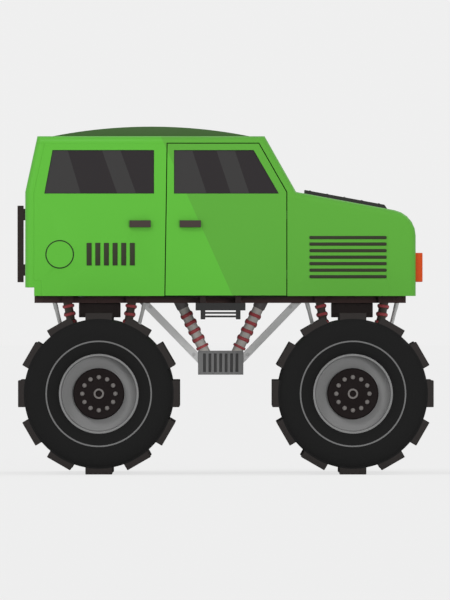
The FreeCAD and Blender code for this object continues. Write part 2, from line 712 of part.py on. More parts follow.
def grab_handle(middle_x):
    """A pull bar on two feet, seated on the right-hand skin."""
    skin = BODY_HALF_WIDTH - (HANDLE_MIDDLE_Z - SILL) * LEAN
    outer = -skin - HANDLE_REACH
    rear, front = middle_x - HANDLE_LENGTH / 2, middle_x + HANDLE_LENGTH / 2
    outline = [
        (rear, -skin + HANDLE_BAR),
        (rear, outer),
        (front, outer),
        (front, -skin + HANDLE_BAR),
        (front - HANDLE_FOOT, -skin + HANDLE_BAR),
        (front - HANDLE_FOOT, outer + HANDLE_BAR),
        (rear + HANDLE_FOOT, outer + HANDLE_BAR),
        (rear + HANDLE_FOOT, -skin + HANDLE_BAR),
    ]
    low = HANDLE_MIDDLE_Z - HANDLE_HEIGHT / 2
    return plan_prism(outline, low, low + HANDLE_HEIGHT).cut(body_form(0))


def quarter_panels():
    """Body sides behind the doors, with their windows; the right one has the fuel flap."""
    sides = SHELL.common(below_roof).common(block(-FAR, DOOR_FRONT_X, -FAR, FAR, -FAR, FAR))
    sides = sides.common(side_prism([
        (-FAR, 0), (DOOR_REAR_SILL_X, 0), (DOOR_REAR_SILL_X, SILL),
        (DOOR_REAR_TOP_X, DOOR_TOP), (DOOR_REAR_TOP_X, ROOF), (-FAR, ROOF)], -FAR, FAR))
    sides = sides.cut(rear_region).cut(door_opening).cut(quarter_window).cut(UPRIGHT_LOUVRES)
    raised = body_form(-FLAP_PROUD).cut(body_form(WALL / 2))
    middle = V(FLAP_X, 0, FLAP_Z)
    flap = flat_bar(middle, middle - V(0, FAR, 0), FLAP_RADIUS, FLAP_FLAT_COUNT)
    return sides.fuse(flap.common(raised)).removeSplitter()


def windscreen_frame():
    """Windscreen pillars, header and cowl in one ring."""
    region = side_prism([
        (DOOR_FRONT_X, COWL_SEAM), (BONNET_REAR_X - PANEL_GAP / 2, COWL_SEAM),
        (BONNET_REAR_X - PANEL_GAP / 2, INNER_ROOF), (DOOR_FRONT_TOP_X, INNER_ROOF),
        (DOOR_FRONT_X, DOOR_FRONT_KINK),
    ], -FAR, FAR)
    return SHELL.common(region).cut(door_opening).cut(windscreen_opening)


def front_wings():
    """Body sides ahead of the doors, each with the strip beside the bonnet."""
    region = block(DOOR_FRONT_X, NOSE_SEAM, -FAR, FAR, 0, INNER_ROOF)
    cowl = block(DOOR_FRONT_X, BONNET_REAR_X - PANEL_GAP / 2, -FAR, FAR, COWL_SEAM, INNER_ROOF)
    middle = block(DOOR_FRONT_X, NOSE_SEAM, -BONNET_EDGE, BONNET_EDGE, 0, INNER_ROOF)
    return SHELL.common(region).cut(cowl).cut(door_opening).cut(middle).cut(LEVEL_LOUVRES)


grille_opening = block(INNER_FRONT, NOSE_X, -GRILLE_HALF_WIDTH, GRILLE_HALF_WIDTH, GRILLE_BOTTOM, GRILLE_TOP)
headlamp_body = both_sides(flat_bar(
    V(NOSE_X - HEADLAMP_DEPTH, -HEADLAMP_DISTANCE, HEADLAMP_Z), V(NOSE_X, -HEADLAMP_DISTANCE, HEADLAMP_Z),
    HEADLAMP_RADIUS, TUBE_FLAT_COUNT))
marker_lamp_body = both_sides(block(
    NOSE_X - LAMP_SEAT_DEPTH, NOSE_X + MARKER_PROUD, -MARKER_INNER - MARKER_WIDTH, -MARKER_INNER,
    MARKER_BOTTOM, MARKER_TOP))


def nose_panel():
    """The rounded nose with the grille's opening and the lamps' seats."""
    nose = SHELL.common(block(NOSE_SEAM, FAR, -FAR, FAR, -FAR, FAR))
    strip = SHELL.common(block(BONNET_FRONT_X - WALL, NOSE_SEAM, -BONNET_EDGE, BONNET_EDGE, -FAR, FAR))
    nose = nose.fuse(strip).removeSplitter()
    nose = nose.cut(bonnet_block(PANEL_GAP / 2))
    return nose.cut(grille_opening).cut(headlamp_body).cut(marker_lamp_body)


def grille():
    """A border with level bars, set in the nose."""
    rear = NOSE_X - GRILLE_DEPTH
    low, high = GRILLE_BOTTOM + GRILLE_BORDER, GRILLE_TOP - GRILLE_BORDER
    half = GRILLE_HALF_WIDTH - GRILLE_BORDER
    border = block(rear, NOSE_X, -GRILLE_HALF_WIDTH, GRILLE_HALF_WIDTH, GRILLE_BOTTOM, GRILLE_TOP)
    pieces = [border.cut(block(rear, NOSE_X, -half, half, low, high))]
    pitch = (high - low) / (GRILLE_BAR_COUNT + 1)
    for number in range(1, GRILLE_BAR_COUNT + 1):
        z = low + number * pitch
        pieces.append(block(rear, NOSE_X - GRILLE_BORDER / 2, -GRILLE_HALF_WIDTH, GRILLE_HALF_WIDTH,
                            z - GRILLE_BAR_HEIGHT / 2, z + GRILLE_BAR_HEIGHT / 2))
    return joined(pieces)


def floor_pan():
    """The cab's floor between the walls, narrower where the doors close over it."""
    wide = foot_space(WALL, INNER_REAR, FIREWALL_X, SILL, FLOOR_TOP)
    narrow = foot_space(WALL + PANEL_GAP, INNER_REAR, FIREWALL_X, SILL, FLOOR_TOP)
    door_zone = block(
        DOOR_REAR_SILL_X - PANEL_GAP / 2, DOOR_FRONT_X + PANEL_GAP / 2, -FAR, FAR, SILL, FLOOR_TOP)
    return wide.cut(door_zone).fuse(narrow).removeSplitter()


def firewall():
    return CAVITY.common(block(FIREWALL_X, FIREWALL_X + FIREWALL_THICKNESS, -FAR, FAR, SILL, ROOF))


def cab_glass():
    """Windscreen and quarter windows."""
    return group([GLASS_LAYER.common(windscreen_opening), GLASS_LAYER.common(quarter_window)])


# ---------------------------------------------------------------- doors and bonnet
HINGE_LAYER = body_form(HINGE_RECESS).cut(body_form(HINGE_RECESS + HINGE_DEPTH))
LUG_REACH = PANEL_GAP / 2 - RUNNING_GAP


def hinge_lugs(space, places, along_y=False):
    """Hinge lugs in a panel's gap, at heights up an upright edge or at places across the vehicle."""
    lugs = []
    for place in places:
        low, high = place - HINGE_LENGTH / 2, place + HINGE_LENGTH / 2
        if along_y:
            lugs.append(space.common(block(-FAR, FAR, low, high, 0, FAR)))
        else:
            lugs.append(space.common(block(-FAR, FAR, -FAR, FAR, low, high)))
    return lugs


def door_right():
    panel = right_half(SHELL.common(grown(DOOR_OUTLINE, -PANEL_GAP / 2)), 0)
    edge = block(DOOR_FRONT_X - WALL, FAR, -FAR, 0, 0, FAR)
    space = HINGE_LAYER.common(grown(DOOR_OUTLINE, LUG_REACH)).common(edge)
    return joined([panel] + hinge_lugs(space, DOOR_HINGES)).cut(door_window)


def door_glass_right():
    return right_half(GLASS_LAYER.common(door_window))


def rear_door():
    door = SHELL.common(rear_door_block(-PANEL_GAP / 2)).common(rear_region)
    edge = block(-FAR, 0, -FAR, WALL - REAR_DOOR_HALF_WIDTH, 0, FAR)
    space = HINGE_LAYER.common(rear_door_block(LUG_REACH)).common(edge)
    return joined([door] + hinge_lugs(space, REAR_DOOR_HINGES)).cut(rear_window_opening)


def rear_door_glass():
    return GLASS_LAYER.common(rear_window_opening)


def rear_ladder():
    """Two uprights and rungs, held off the rear door on feet."""
    outer = REAR_X - LADDER_STAND_OFF
    pieces = []
    for side in (-1, 1):
        y = side * LADDER_HALF_WIDTH
        low, high = y - LADDER_RAIL_WIDTH / 2, y + LADDER_RAIL_WIDTH / 2
        pieces.append(block(outer - LADDER_RAIL_DEPTH, outer, low, high, LADDER_BOTTOM, LADDER_TOP))
        for foot_z in (LADDER_LOW_FOOT, LADDER_HIGH_FOOT):
            foot_top = foot_z + LADDER_FOOT_HEIGHT
            pieces.append(block(outer - LADDER_RAIL_DEPTH, REAR_X, low, high, foot_z, foot_top))
    pitch = (LADDER_TOP - LADDER_BOTTOM) / LADDER_RUNG_COUNT
    for number in range(LADDER_RUNG_COUNT):
        z = LADDER_BOTTOM + (number + 0.5) * pitch
        x = outer - LADDER_RAIL_DEPTH / 2
        pieces.append(block(x - LADDER_RUNG / 2, x + LADDER_RUNG / 2, -LADDER_HALF_WIDTH, LADDER_HALF_WIDTH,
                            z - LADDER_RUNG / 2, z + LADDER_RUNG / 2))
    return joined(pieces)


def bonnet():
    panel = SHELL.common(bonnet_block(-PANEL_GAP / 2))
    edge = block(0, BONNET_REAR_X + WALL, -FAR, FAR, 0, FAR)
    space = HINGE_LAYER.common(bonnet_block(LUG_REACH)).common(edge)
    return joined([panel] + hinge_lugs(space, BONNET_HINGES, True))


def bonnet_plate():
    """A flat dark slab that lies on the bonnet."""
    rear, front = BONNET_PLATE_REAR_X, BONNET_PLATE_FRONT_X
    rise = BONNET_PLATE_THICKNESS / cos(SLOPE)
    outline = [
        (rear, bonnet_height(rear)),
        (front, bonnet_height(front)),
        (front - BONNET_PLATE_END_SLANT, bonnet_height(front - BONNET_PLATE_END_SLANT) + rise),
        (rear, bonnet_height(rear) + rise),
    ]
    return side_prism(outline, -BONNET_PLATE_HALF_WIDTH, BONNET_PLATE_HALF_WIDTH)


save("roof", roof())
save("roof_cap", roof_cap())
save("rear_frame", rear_frame())
save("quarter_panels", quarter_panels())
save("windscreen_frame", windscreen_frame())
save("front_wings", front_wings())
save("nose_panel", nose_panel())
save("grille", grille())
save("floor_pan", floor_pan())
save("firewall", firewall())
save("cab_glass", cab_glass())
save("side_louvres", group([UPRIGHT_LOUVRES, LEVEL_LOUVRES]))
save("quarter_handles", both_sides(grab_handle(HANDLE_QUARTER_X)))
save("headlamps", headlamp_body)
save("marker_lamps", marker_lamp_body)
save("tail_lamps", tail_lamp_seat)
save("door_right", door_right())
save("door_left", mirrored(door_right()))
save("door_glass_right", door_glass_right())
save("door_glass_left", mirrored(door_glass_right()))
save("door_handle_right", grab_handle(HANDLE_DOOR_X))
save("door_handle_left", mirrored(grab_handle(HANDLE_DOOR_X)))
save("rear_door", rear_door())
save("rear_door_glass", rear_door_glass())
save("rear_ladder", rear_ladder())
save("bonnet", bonnet())
save("bonnet_plate", bonnet_plate())


# ---------------------------------------------------------------- ladder frame
RAIL_INNER = RAIL_DISTANCE - RAIL_WIDTH / 2
RAIL_OUTER = RAIL_DISTANCE + RAIL_WIDTH / 2
# Cross members: (name, middle x, length along x, half-width).
CROSS_MEMBERS = [
    ("rear end", FRAME_REAR + END_MEMBER / 2, END_MEMBER, RAIL_INNER),
    ("rear axle aft", -AXLE_X - CORNER_TOP_OFFSET, DAMPER_MEMBER, DAMPER_MEMBER_HALF_WIDTH),
    ("rear axle", -AXLE_X, AXLE_MEMBER, RAIL_INNER),
    ("rear axle fore", -AXLE_X + CORNER_TOP_OFFSET, DAMPER_MEMBER, DAMPER_MEMBER_HALF_WIDTH),
    ("step rear", STEP_POST_REAR + STEP_POST_LENGTH / 2, STEP_MEMBER, STEP_OUTER - STEP_WIDTH / 2),
    ("step front", STEP_POST_FRONT - STEP_POST_LENGTH / 2, STEP_MEMBER, STEP_OUTER - STEP_WIDTH / 2),
    ("front axle aft", AXLE_X - CORNER_TOP_OFFSET, DAMPER_MEMBER, DAMPER_MEMBER_HALF_WIDTH),
    ("front axle", AXLE_X, AXLE_MEMBER, RAIL_INNER),
    ("front axle fore", AXLE_X + CORNER_TOP_OFFSET, DAMPER_MEMBER, DAMPER_MEMBER_HALF_WIDTH),
    ("front end", FRAME_FRONT - END_MEMBER / 2, END_MEMBER, RAIL_INNER),
]
TOW_BORE_INSET = END_MEMBER / 2


def frame_rails():
    return both_sides(block(FRAME_REAR, FRAME_FRONT, RAIL_INNER, RAIL_OUTER, FRAME_BOTTOM, SILL))


def cross_members():
    """Members between the rails, some carried on outboard, with a tow-pin bore at each end."""
    rails = frame_rails()
    members = []
    for name, middle, length, half in CROSS_MEMBERS:
        rear, front = middle - length / 2, middle + length / 2
        members.append(block(rear, front, -half, half, FRAME_BOTTOM, SILL).cut(rails))
    for x in (FRAME_REAR + TOW_BORE_INSET, FRAME_FRONT - TOW_BORE_INSET):
        bore = Part.makeCylinder(TOW_BORE_RADIUS, FRAME_DEPTH, V(x, 0, FRAME_BOTTOM))
        members = [member.cut(bore) for member in members]
    return group(members)


def axle_cradles():
    """The bump-stop box under the rails over each axle."""
    box = block(AXLE_X - CRADLE_LENGTH / 2, AXLE_X + CRADLE_LENGTH / 2, -CRADLE_HALF_WIDTH, CRADLE_HALF_WIDTH,
                CRADLE_BOTTOM, FRAME_BOTTOM)
    return fore_and_aft(box)


# ---------------------------------------------------------------- gearbox and what carries it
GEARBOX_MIDDLE = (GEARBOX_REAR + GEARBOX_FRONT) / 2


def gearbox():
    """The transfer box, its sides ribbed by upright slots."""
    box = block(
        GEARBOX_REAR, GEARBOX_FRONT, -GEARBOX_HALF_WIDTH, GEARBOX_HALF_WIDTH, GEARBOX_BOTTOM, GEARBOX_TOP)
    for number in range(SLOT_COUNT):
        x = GEARBOX_MIDDLE + (number - (SLOT_COUNT - 1) / 2) * SLOT_PITCH
        slot = block(
            x - SLOT_WIDTH / 2, x + SLOT_WIDTH / 2, GEARBOX_HALF_WIDTH - SLOT_DEPTH, GEARBOX_HALF_WIDTH,
            GEARBOX_BOTTOM + SLOT_MARGIN, GEARBOX_TOP - SLOT_MARGIN)
        box = box.cut(both_sides(slot))
    return box


def gearbox_braces():
    """Flat diagonal stays from the rails down to the gearbox's end faces."""
    braces = []
    for top_x, foot_x, inwards in ((BRACE_REAR_X, GEARBOX_REAR, 1), (BRACE_FRONT_X, GEARBOX_FRONT, -1)):
        run = V(foot_x - top_x, 0, BRACE_FOOT_Z - FRAME_BOTTOM)
        along = run * (1 / run.Length)
        across = V(along.z, 0, -along.x) * (BRACE_THICKNESS / 2)
        start = V(top_x, 0, FRAME_BOTTOM) - along * BRACE_SPARE
        end = V(foot_x, 0, BRACE_FOOT_Z) + along * BRACE_SPARE
        corners = [start + across, end + across, end - across, start - across]
        stay = side_prism([(p.x, p.z) for p in corners], BRACE_DISTANCE - BRACE_WIDTH / 2,
                          BRACE_DISTANCE + BRACE_WIDTH / 2)
        low_x, high_x = sorted((top_x - inwards * BRACE_SPARE, foot_x))
        braces.append(stay.common(block(low_x, high_x, -FAR, FAR, 0, FRAME_BOTTOM)))
    return both_sides(group(braces))


# ---------------------------------------------------------------- dampers, springs and links
# The centre line of each damper on the left side: (top x, foot x); the centre pair stand on the gearbox.
CENTRE_LINES = [(CENTRE_TOP_REAR_X, CENTRE_FOOT_REAR_X), (CENTRE_TOP_FRONT_X, CENTRE_FOOT_FRONT_X)]
CORNER_LINES = [
    (axle + side * CORNER_TOP_OFFSET, axle + side * CORNER_FOOT_OFFSET)
    for axle in (-AXLE_X, AXLE_X) for side in (-1, 1)
]


def line_points(top_x, foot_x, y, foot_z):
    return V(top_x, y, FRAME_BOTTOM), V(foot_x, y, foot_z)


def damper(top, foot, radius):
    """A damper whose ends are cut level, to seat on what is above and below."""
    along = (foot - top) * (1 / (foot - top).Length)
    body = flat_bar(top - along * radius, foot + along * radius, radius)
    return body.common(block(-FAR, FAR, -FAR, FAR, foot.z, top.z))


def coil(top, foot, first, mean_radius, wire, turns, pitch):
    """A spring about the line from top to foot, starting first below the top; its wire is three-sided,
    with the flat side outwards."""
    along = (foot - top).normalize()
    across = along.cross(V(0, 1, 0)).normalize()
    third = along.cross(across)
    sections = []
    for step in range(turns * COIL_STEP_COUNT + 1):
        angle = 2 * pi * (step + 0.5) / COIL_STEP_COUNT
        outward = across * cos(angle) + third * sin(angle)
        middle = top + along * (first + pitch * step / COIL_STEP_COUNT)
        sections.append([
            middle + outward * (mean_radius + radial * wire / 2) + along * (axial * wire / 2)
            for radial, axial in ((-1, 0), (1, -1), (1, 1))])
    outlines = [sections[0], sections[-1]]
    for before, after in zip(sections, sections[1:]):
        for place in range(3):
            beside = (place + 1) % 3
            outlines.append([before[place], before[beside], after[beside]])
            outlines.append([before[place], after[beside], after[place]])
    return closed_solid(outlines)


# Coil-overs: (lines, distance from the centre plane, foot height, damper radius, coil radius, wire,
# turns, pitch, start of the coil below the top).
CENTRE_SET = (CENTRE_LINES, CENTRE_DISTANCE, GEARBOX_TOP, CENTRE_DAMPER_RADIUS, CENTRE_COIL_RADIUS,
              CENTRE_WIRE, CENTRE_COIL_COUNT, CENTRE_COIL_PITCH, CENTRE_COIL_START)
CORNER_SET = (CORNER_LINES, CORNER_DAMPER_DISTANCE, SEAT_Z, CORNER_DAMPER_RADIUS, CORNER_COIL_RADIUS,
              CORNER_WIRE, CORNER_COIL_COUNT, CORNER_COIL_PITCH, CORNER_COIL_START)


def dampers(lines, distance, foot_z, radius, coil_radius, wire, turns, pitch, first):
    """Dampers with a perch at each end of their springs."""
    shapes = []
    for top_x, foot_x in lines:
        top, foot = line_points(top_x, foot_x, distance, foot_z)
        along = (foot - top) * (1 / (foot - top).Length)
        reach = coil_radius + wire / 2
        last = first + turns * pitch
        upper = top + along * (first - wire / 2 - PERCH_GAP - PERCH_THICKNESS)
        lower = top + along * (last + wire / 2 + PERCH_GAP)
        shapes.append(joined([
            damper(top, foot, radius),
            flat_bar(upper, upper + along * PERCH_THICKNESS, reach),
            flat_bar(lower, lower + along * PERCH_THICKNESS, reach),
        ]))
    return both_sides(group(shapes))


def springs(lines, distance, foot_z, radius, coil_radius, wire, turns, pitch, first):
    return both_sides(group([
        coil(*line_points(top_x, foot_x, distance, foot_z), first, coil_radius, wire, turns, pitch)
        for top_x, foot_x in lines]))


def axle_links():
    """Slim stays that locate the axles under the rails."""
    links = []
    for axle in (-AXLE_X, AXLE_X):
        for side in (-1, 1):
            top, foot = line_points(axle + side * LINK_TOP_OFFSET, axle + side * LINK_FOOT_OFFSET,
                                    LINK_DISTANCE, SEAT_Z)
            links.append(damper(top, foot, LINK_RADIUS))
    return both_sides(group(links))


# ---------------------------------------------------------------- axles, knuckles, wheels
EAR_TOP = KNUCKLE_HEIGHT / 2 + EAR_GAP
YOKE_TOP = EAR_TOP + YOKE_EAR_THICKNESS


def yoke_half(axle_x):
    """The fork at an axle's left end, with the kingpin's bores in its ears."""
    inner = YOKE_WEB_DISTANCE - YOKE_WEB_THICKNESS
    outer = KINGPIN_DISTANCE + YOKE_EAR_HALF
    low_x, high_x = axle_x - YOKE_EAR_HALF, axle_x + YOKE_EAR_HALF
    outline = [
        (low_x, inner), (high_x, inner), (high_x, outer - YOKE_EAR_CORNER),
        (high_x - YOKE_EAR_CORNER, outer), (low_x + YOKE_EAR_CORNER, outer), (low_x, outer - YOKE_EAR_CORNER),
    ]
    fork = plan_prism(outline, WHEEL_Z - YOKE_TOP, WHEEL_Z + YOKE_TOP)
    fork = fork.cut(block(low_x, high_x, YOKE_WEB_DISTANCE, outer, WHEEL_Z - EAR_TOP, WHEEL_Z + EAR_TOP))
    return fork.cut(Part.makeCylinder(
        KINGPIN_RADIUS + RUNNING_GAP, 2 * YOKE_TOP, V(axle_x, KINGPIN_DISTANCE, WHEEL_Z - YOKE_TOP)))


def axle(axle_x, inwards):
    """A tube axle with its differential, spring seats and end forks; inwards points to the gearbox."""
    centre = V(axle_x, 0, WHEEL_Z)
    housing = turned([
        (-DIFF_HALF_WIDTH, 0), (-DIFF_HALF_WIDTH, DIFF_END_RADIUS), (-DIFF_RIM_HALF_WIDTH, DIFF_RADIUS),
        (DIFF_RIM_HALF_WIDTH, DIFF_RADIUS), (DIFF_HALF_WIDTH, DIFF_END_RADIUS), (DIFF_HALF_WIDTH, 0),
    ], centre, 1, TUBE_FLAT_COUNT)
    nose = flat_bar(centre, centre + V(inwards * DIFF_NOSE_REACH, 0, 0), DIFF_NOSE_RADIUS)
    reach = V(0, YOKE_WEB_DISTANCE - YOKE_WEB_THICKNESS / 2, 0)
    pieces = [flat_bar(centre - reach, centre + reach, AXLE_TUBE_RADIUS), housing, nose]
    rib_top, rib_foot = SEAT_Z - SEAT_THICKNESS / 2, WHEEL_Z - AXLE_TUBE_RADIUS
    rib = [
        (axle_x - SEAT_HALF_LENGTH, rib_top), (axle_x + SEAT_HALF_LENGTH, rib_top),
        (axle_x + AXLE_TUBE_RADIUS, rib_foot), (axle_x - AXLE_TUBE_RADIUS, rib_foot),
    ]
    pieces.append(both_sides(block(
        axle_x - SEAT_HALF_LENGTH, axle_x + SEAT_HALF_LENGTH, SEAT_INNER, SEAT_OUTER,
        SEAT_Z - SEAT_THICKNESS, SEAT_Z)))
    pieces.append(both_sides(side_prism(rib, SEAT_RIB_INNER, SEAT_RIB_INNER + SEAT_RIB_WIDTH)))
    pieces.append(both_sides(yoke_half(axle_x)))
    return joined(pieces)


def knuckle(axle_x, steer_side, side):
    """A steering knuckle: squared body, kingpins, drum, spindle and the arm to the tie rod."""
    y = side * KINGPIN_DISTANCE
    low, high = WHEEL_Z - KNUCKLE_HEIGHT / 2, WHEEL_Z + KNUCKLE_HEIGHT / 2
    body = block(axle_x - KNUCKLE_HALF, axle_x + KNUCKLE_HALF, y - KNUCKLE_HALF, y + KNUCKLE_HALF, low, high)
    pins = flat_bar(V(axle_x, y, WHEEL_Z - YOKE_TOP), V(axle_x, y, WHEEL_Z + YOKE_TOP), KINGPIN_RADIUS,
                    TUBE_FLAT_COUNT)
    drum_start = V(axle_x, side * DRUM_DISTANCE, WHEEL_Z)
    drum_end = drum_start + V(0, side * DRUM_WIDTH, 0)
    neck = flat_bar(V(axle_x, y, WHEEL_Z), drum_start, SPINDLE_RADIUS)
    drum = flat_bar(drum_start, drum_end, DRUM_RADIUS, TUBE_FLAT_COUNT)
    spindle_end = TRACK / 2 + RIM_DISC_OFFSET + SPINDLE_REACH
    spindle = flat_bar(drum_end, V(axle_x, side * spindle_end, WHEEL_Z), SPINDLE_RADIUS, TUBE_FLAT_COUNT)
    arm_x = axle_x + steer_side * ARM_LENGTH
    tip = arm_x + steer_side * ARM_WIDTH / 2
    corner = ARM_WIDTH / 4
    arm = plan_prism([
        (axle_x, y - 2 * corner), (tip - steer_side * corner, y - 2 * corner), (tip, y - corner),
        (tip, y + corner), (tip - steer_side * corner, y + 2 * corner), (axle_x, y + 2 * corner),
    ], WHEEL_Z - ARM_DROP - ARM_THICKNESS / 2, WHEEL_Z - ARM_DROP + ARM_THICKNESS / 2)
    pin_foot = V(arm_x, y, WHEEL_Z - ARM_DROP)
    pin_top = pin_foot + V(0, 0, ARM_THICKNESS / 2 + TIE_EYE_HEIGHT)
    pin = flat_bar(pin_foot, pin_top, TIE_PIN_RADIUS, TUBE_FLAT_COUNT)
    return joined([body, pins, neck, drum, spindle, arm, pin])


def tie_rod(axle_x, steer_side):
    """The rod between the two steering arms, an eye on each pin."""
    x = axle_x + steer_side * ARM_LENGTH
    foot = WHEEL_Z - ARM_DROP + ARM_THICKNESS / 2 + RUNNING_GAP
    middle = foot + TIE_EYE_HEIGHT / 2
    pieces = [flat_bar(V(x, -KINGPIN_DISTANCE, middle), V(x, KINGPIN_DISTANCE, middle), TIE_ROD_RADIUS)]
    bores = []
    for side in (-1, 1):
        eye = V(x, side * KINGPIN_DISTANCE, foot)
        pieces.append(flat_bar(eye, eye + V(0, 0, TIE_EYE_HEIGHT), TIE_EYE_RADIUS))
        bores.append(Part.makeCylinder(TIE_PIN_RADIUS + RUNNING_GAP, TIE_EYE_HEIGHT, eye))
    return joined(pieces).cut(group(bores))


def tyre(centre, side):
    """A balloon tyre with straight lugs across its tread."""
    half, bead = TYRE_WIDTH / 2, BEAD_WIDTH / 2
    shoulder = CARCASS_RADIUS - SHOULDER_DROP
    carcass = turned([
        (-bead, BEAD_RADIUS), (-half, SIDEWALL_BULGE_RADIUS), (-half + SHOULDER_WIDTH / 3, shoulder),
        (-half + SHOULDER_WIDTH, CARCASS_RADIUS), (half - SHOULDER_WIDTH, CARCASS_RADIUS),
        (half - SHOULDER_WIDTH / 3, shoulder), (half, SIDEWALL_BULGE_RADIUS), (bead, BEAD_RADIUS),
    ], centre, side)
    # A lug's outline from the end: across the tyre and up to its tip, its ends sloped.
    outline = [
        (-half + SHOULDER_WIDTH / 3, shoulder - LUG_ROOT), (-half + LUG_END_SLOPE, TYRE_RADIUS),
        (half - LUG_END_SLOPE, TYRE_RADIUS), (half - SHOULDER_WIDTH / 3, shoulder - LUG_ROOT),
    ]
    face = Part.Face(Part.makePolygon([centre + V(-LUG_WIDTH / 2, y, -r) for y, r in outline + outline[:1]]))
    lug = face.extrude(V(LUG_WIDTH, 0, 0))
    lugs = []
    for number in range(LUG_COUNT):
        copy = lug.copy()
        copy.rotate(centre, V(0, 1, 0), 360 * number / LUG_COUNT)
        lugs.append(copy)
    return joined([carcass] + lugs)


def rim(centre, side):
    """A deep steel rim with its disc and the hub cover bolted to it."""
    bead, disc = BEAD_WIDTH / 2, RIM_DISC_OFFSET
    inner = BEAD_RADIUS - RIM_WALL
    cover = disc + HUB_HEIGHT
    back = disc - RIM_DISC_THICKNESS
    form = turned([
        (-bead, BEAD_RADIUS), (-bead, inner), (back, inner), (back, 0), (cover, 0), (cover, HUB_RADIUS),
        (disc, HUB_RADIUS), (disc, inner), (bead, inner), (bead, BEAD_RADIUS),
    ], centre, side)
    boss_start = centre + V(0, side * (disc - HUB_BOSS_LENGTH), 0)
    ring_end = centre + V(0, side * (cover + HUB_RING_HEIGHT), 0)
    boss = flat_bar(boss_start, centre + V(0, side * disc, 0), HUB_BOSS_RADIUS, TUBE_FLAT_COUNT)
    ring = flat_bar(centre + V(0, side * disc, 0), ring_end, HUB_RING_RADIUS, TUBE_FLAT_COUNT)
    bore_end = centre + V(0, side * (disc + SPINDLE_REACH + SPINDLE_END_GAP), 0)
    return joined([form, boss, ring]).cut(rod(boss_start, bore_end, SPINDLE_RADIUS + RUNNING_GAP))


# ---------------------------------------------------------------- steps, seats, dash and engine
def side_steps():
    """A hanging step under each door: a bracket, two posts and two rungs."""
    inner = STEP_OUTER - STEP_WIDTH
    pieces = [block(STEP_REAR, STEP_FRONT, inner, STEP_OUTER, STEP_BRACKET_BOTTOM, FRAME_BOTTOM)]
    for low in (STEP_POST_REAR, STEP_POST_FRONT - STEP_POST_LENGTH):
        pieces.append(block(low, low + STEP_POST_LENGTH, inner, STEP_OUTER, STEP_BOTTOM, FRAME_BOTTOM))
    for z in STEP_RUNGS:
        pieces.append(block(STEP_POST_REAR, STEP_POST_FRONT, inner, STEP_OUTER,
                            z - STEP_RUNG_HEIGHT / 2, z + STEP_RUNG_HEIGHT / 2))
    return both_sides(joined(pieces))


def seat(rear_x, middle_y, width):
    """A cushion with an upright back, standing on the floor."""
    outline = [
        (rear_x, FLOOR_TOP),
        (rear_x + SEAT_LENGTH, FLOOR_TOP),
        (rear_x + SEAT_LENGTH, FLOOR_TOP + SEAT_HEIGHT),
        (rear_x + SEAT_BACK_THICKNESS, FLOOR_TOP + SEAT_HEIGHT),
        (rear_x + SEAT_BACK_THICKNESS - SEAT_BACK_RAKE, SEAT_BACK_TOP),
        (rear_x - SEAT_BACK_RAKE, SEAT_BACK_TOP),
    ]
    return side_prism(outline, middle_y - width / 2, middle_y + width / 2)


def seats():
    return group([seat(SEAT_FRONT_X, SEAT_SPACING, SEAT_WIDTH), seat(SEAT_FRONT_X, -SEAT_SPACING, SEAT_WIDTH),
                  seat(BENCH_X, 0, BENCH_WIDTH)])


def dashboard():
    """The dash on the firewall's cab side, with column and steering wheel."""
    face_x = FIREWALL_X - DASH_DEPTH
    dash = block(face_x, FIREWALL_X, -DASH_HALF_WIDTH, DASH_HALF_WIDTH, DASH_BOTTOM, DASH_TOP)
    middle = V(face_x, SEAT_SPACING, (DASH_BOTTOM + DASH_TOP) / 2)
    rake = V(-cos(radians(COLUMN_RAKE)), 0, sin(radians(COLUMN_RAKE)))
    hub = middle + rake * STEERING_WHEEL_REACH
    column = flat_bar(middle - rake * COLUMN_ROOT, hub, COLUMN_RADIUS)
    rear, front = hub - rake * (STEERING_WHEEL_RIM / 2), hub + rake * (STEERING_WHEEL_RIM / 2)
    inner_radius = STEERING_WHEEL_RADIUS - STEERING_WHEEL_RIM
    ring = flat_bar(rear, front, STEERING_WHEEL_RADIUS, TUBE_FLAT_COUNT)
    inside = flat_bar(rear, front, inner_radius, TUBE_FLAT_COUNT)
    reach = V(0, inner_radius, 0)
    spoke = flat_bar(hub - reach, hub + reach, STEERING_SPOKE_RADIUS)
    return joined([dash, column, ring.cut(inside), spoke])


def engine():
    return block(ENGINE_REAR, ENGINE_REAR + ENGINE_LENGTH, -ENGINE_HALF_WIDTH, ENGINE_HALF_WIDTH,
                 SILL, SILL + ENGINE_HEIGHT)


save("frame_rails", frame_rails())
save("cross_members", cross_members())
save("axle_cradles", axle_cradles())
save("gearbox", gearbox())
save("gearbox_braces", gearbox_braces())
save("centre_dampers", dampers(*CENTRE_SET))
save("centre_springs", springs(*CENTRE_SET))
save("corner_dampers", dampers(*CORNER_SET))
save("corner_springs", springs(*CORNER_SET))
save("axle_links", axle_links())
save("side_steps", side_steps())
save("seats", seats())
save("dashboard", dashboard())
save("engine", engine())

# Each axle: (name, x, which way the gearbox lies).
for end, axle_x, inwards in (("front", AXLE_X, -1), ("rear", -AXLE_X, 1)):
    save("axle_%s" % end, axle(axle_x, inwards))
    save("tie_rod_%s" % end, tie_rod(axle_x, -inwards))
    for side_name, side in (("right", -1), ("left", 1)):
        corner = "%s_%s" % (end, side_name)
        wheel_centre = V(axle_x, side * TRACK / 2, WHEEL_Z)
        save("knuckle_%s" % corner, knuckle(axle_x, -inwards, side))
        save("tyre_%s" % corner, tyre(wheel_centre, side))
        save("rim_%s" % corner, rim(wheel_centre, side))
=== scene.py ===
import json
from math import atan2, cos, pi, radians, sin, sqrt, tan

import bmesh
import bpy
import numpy
from mathutils import Matrix, Vector

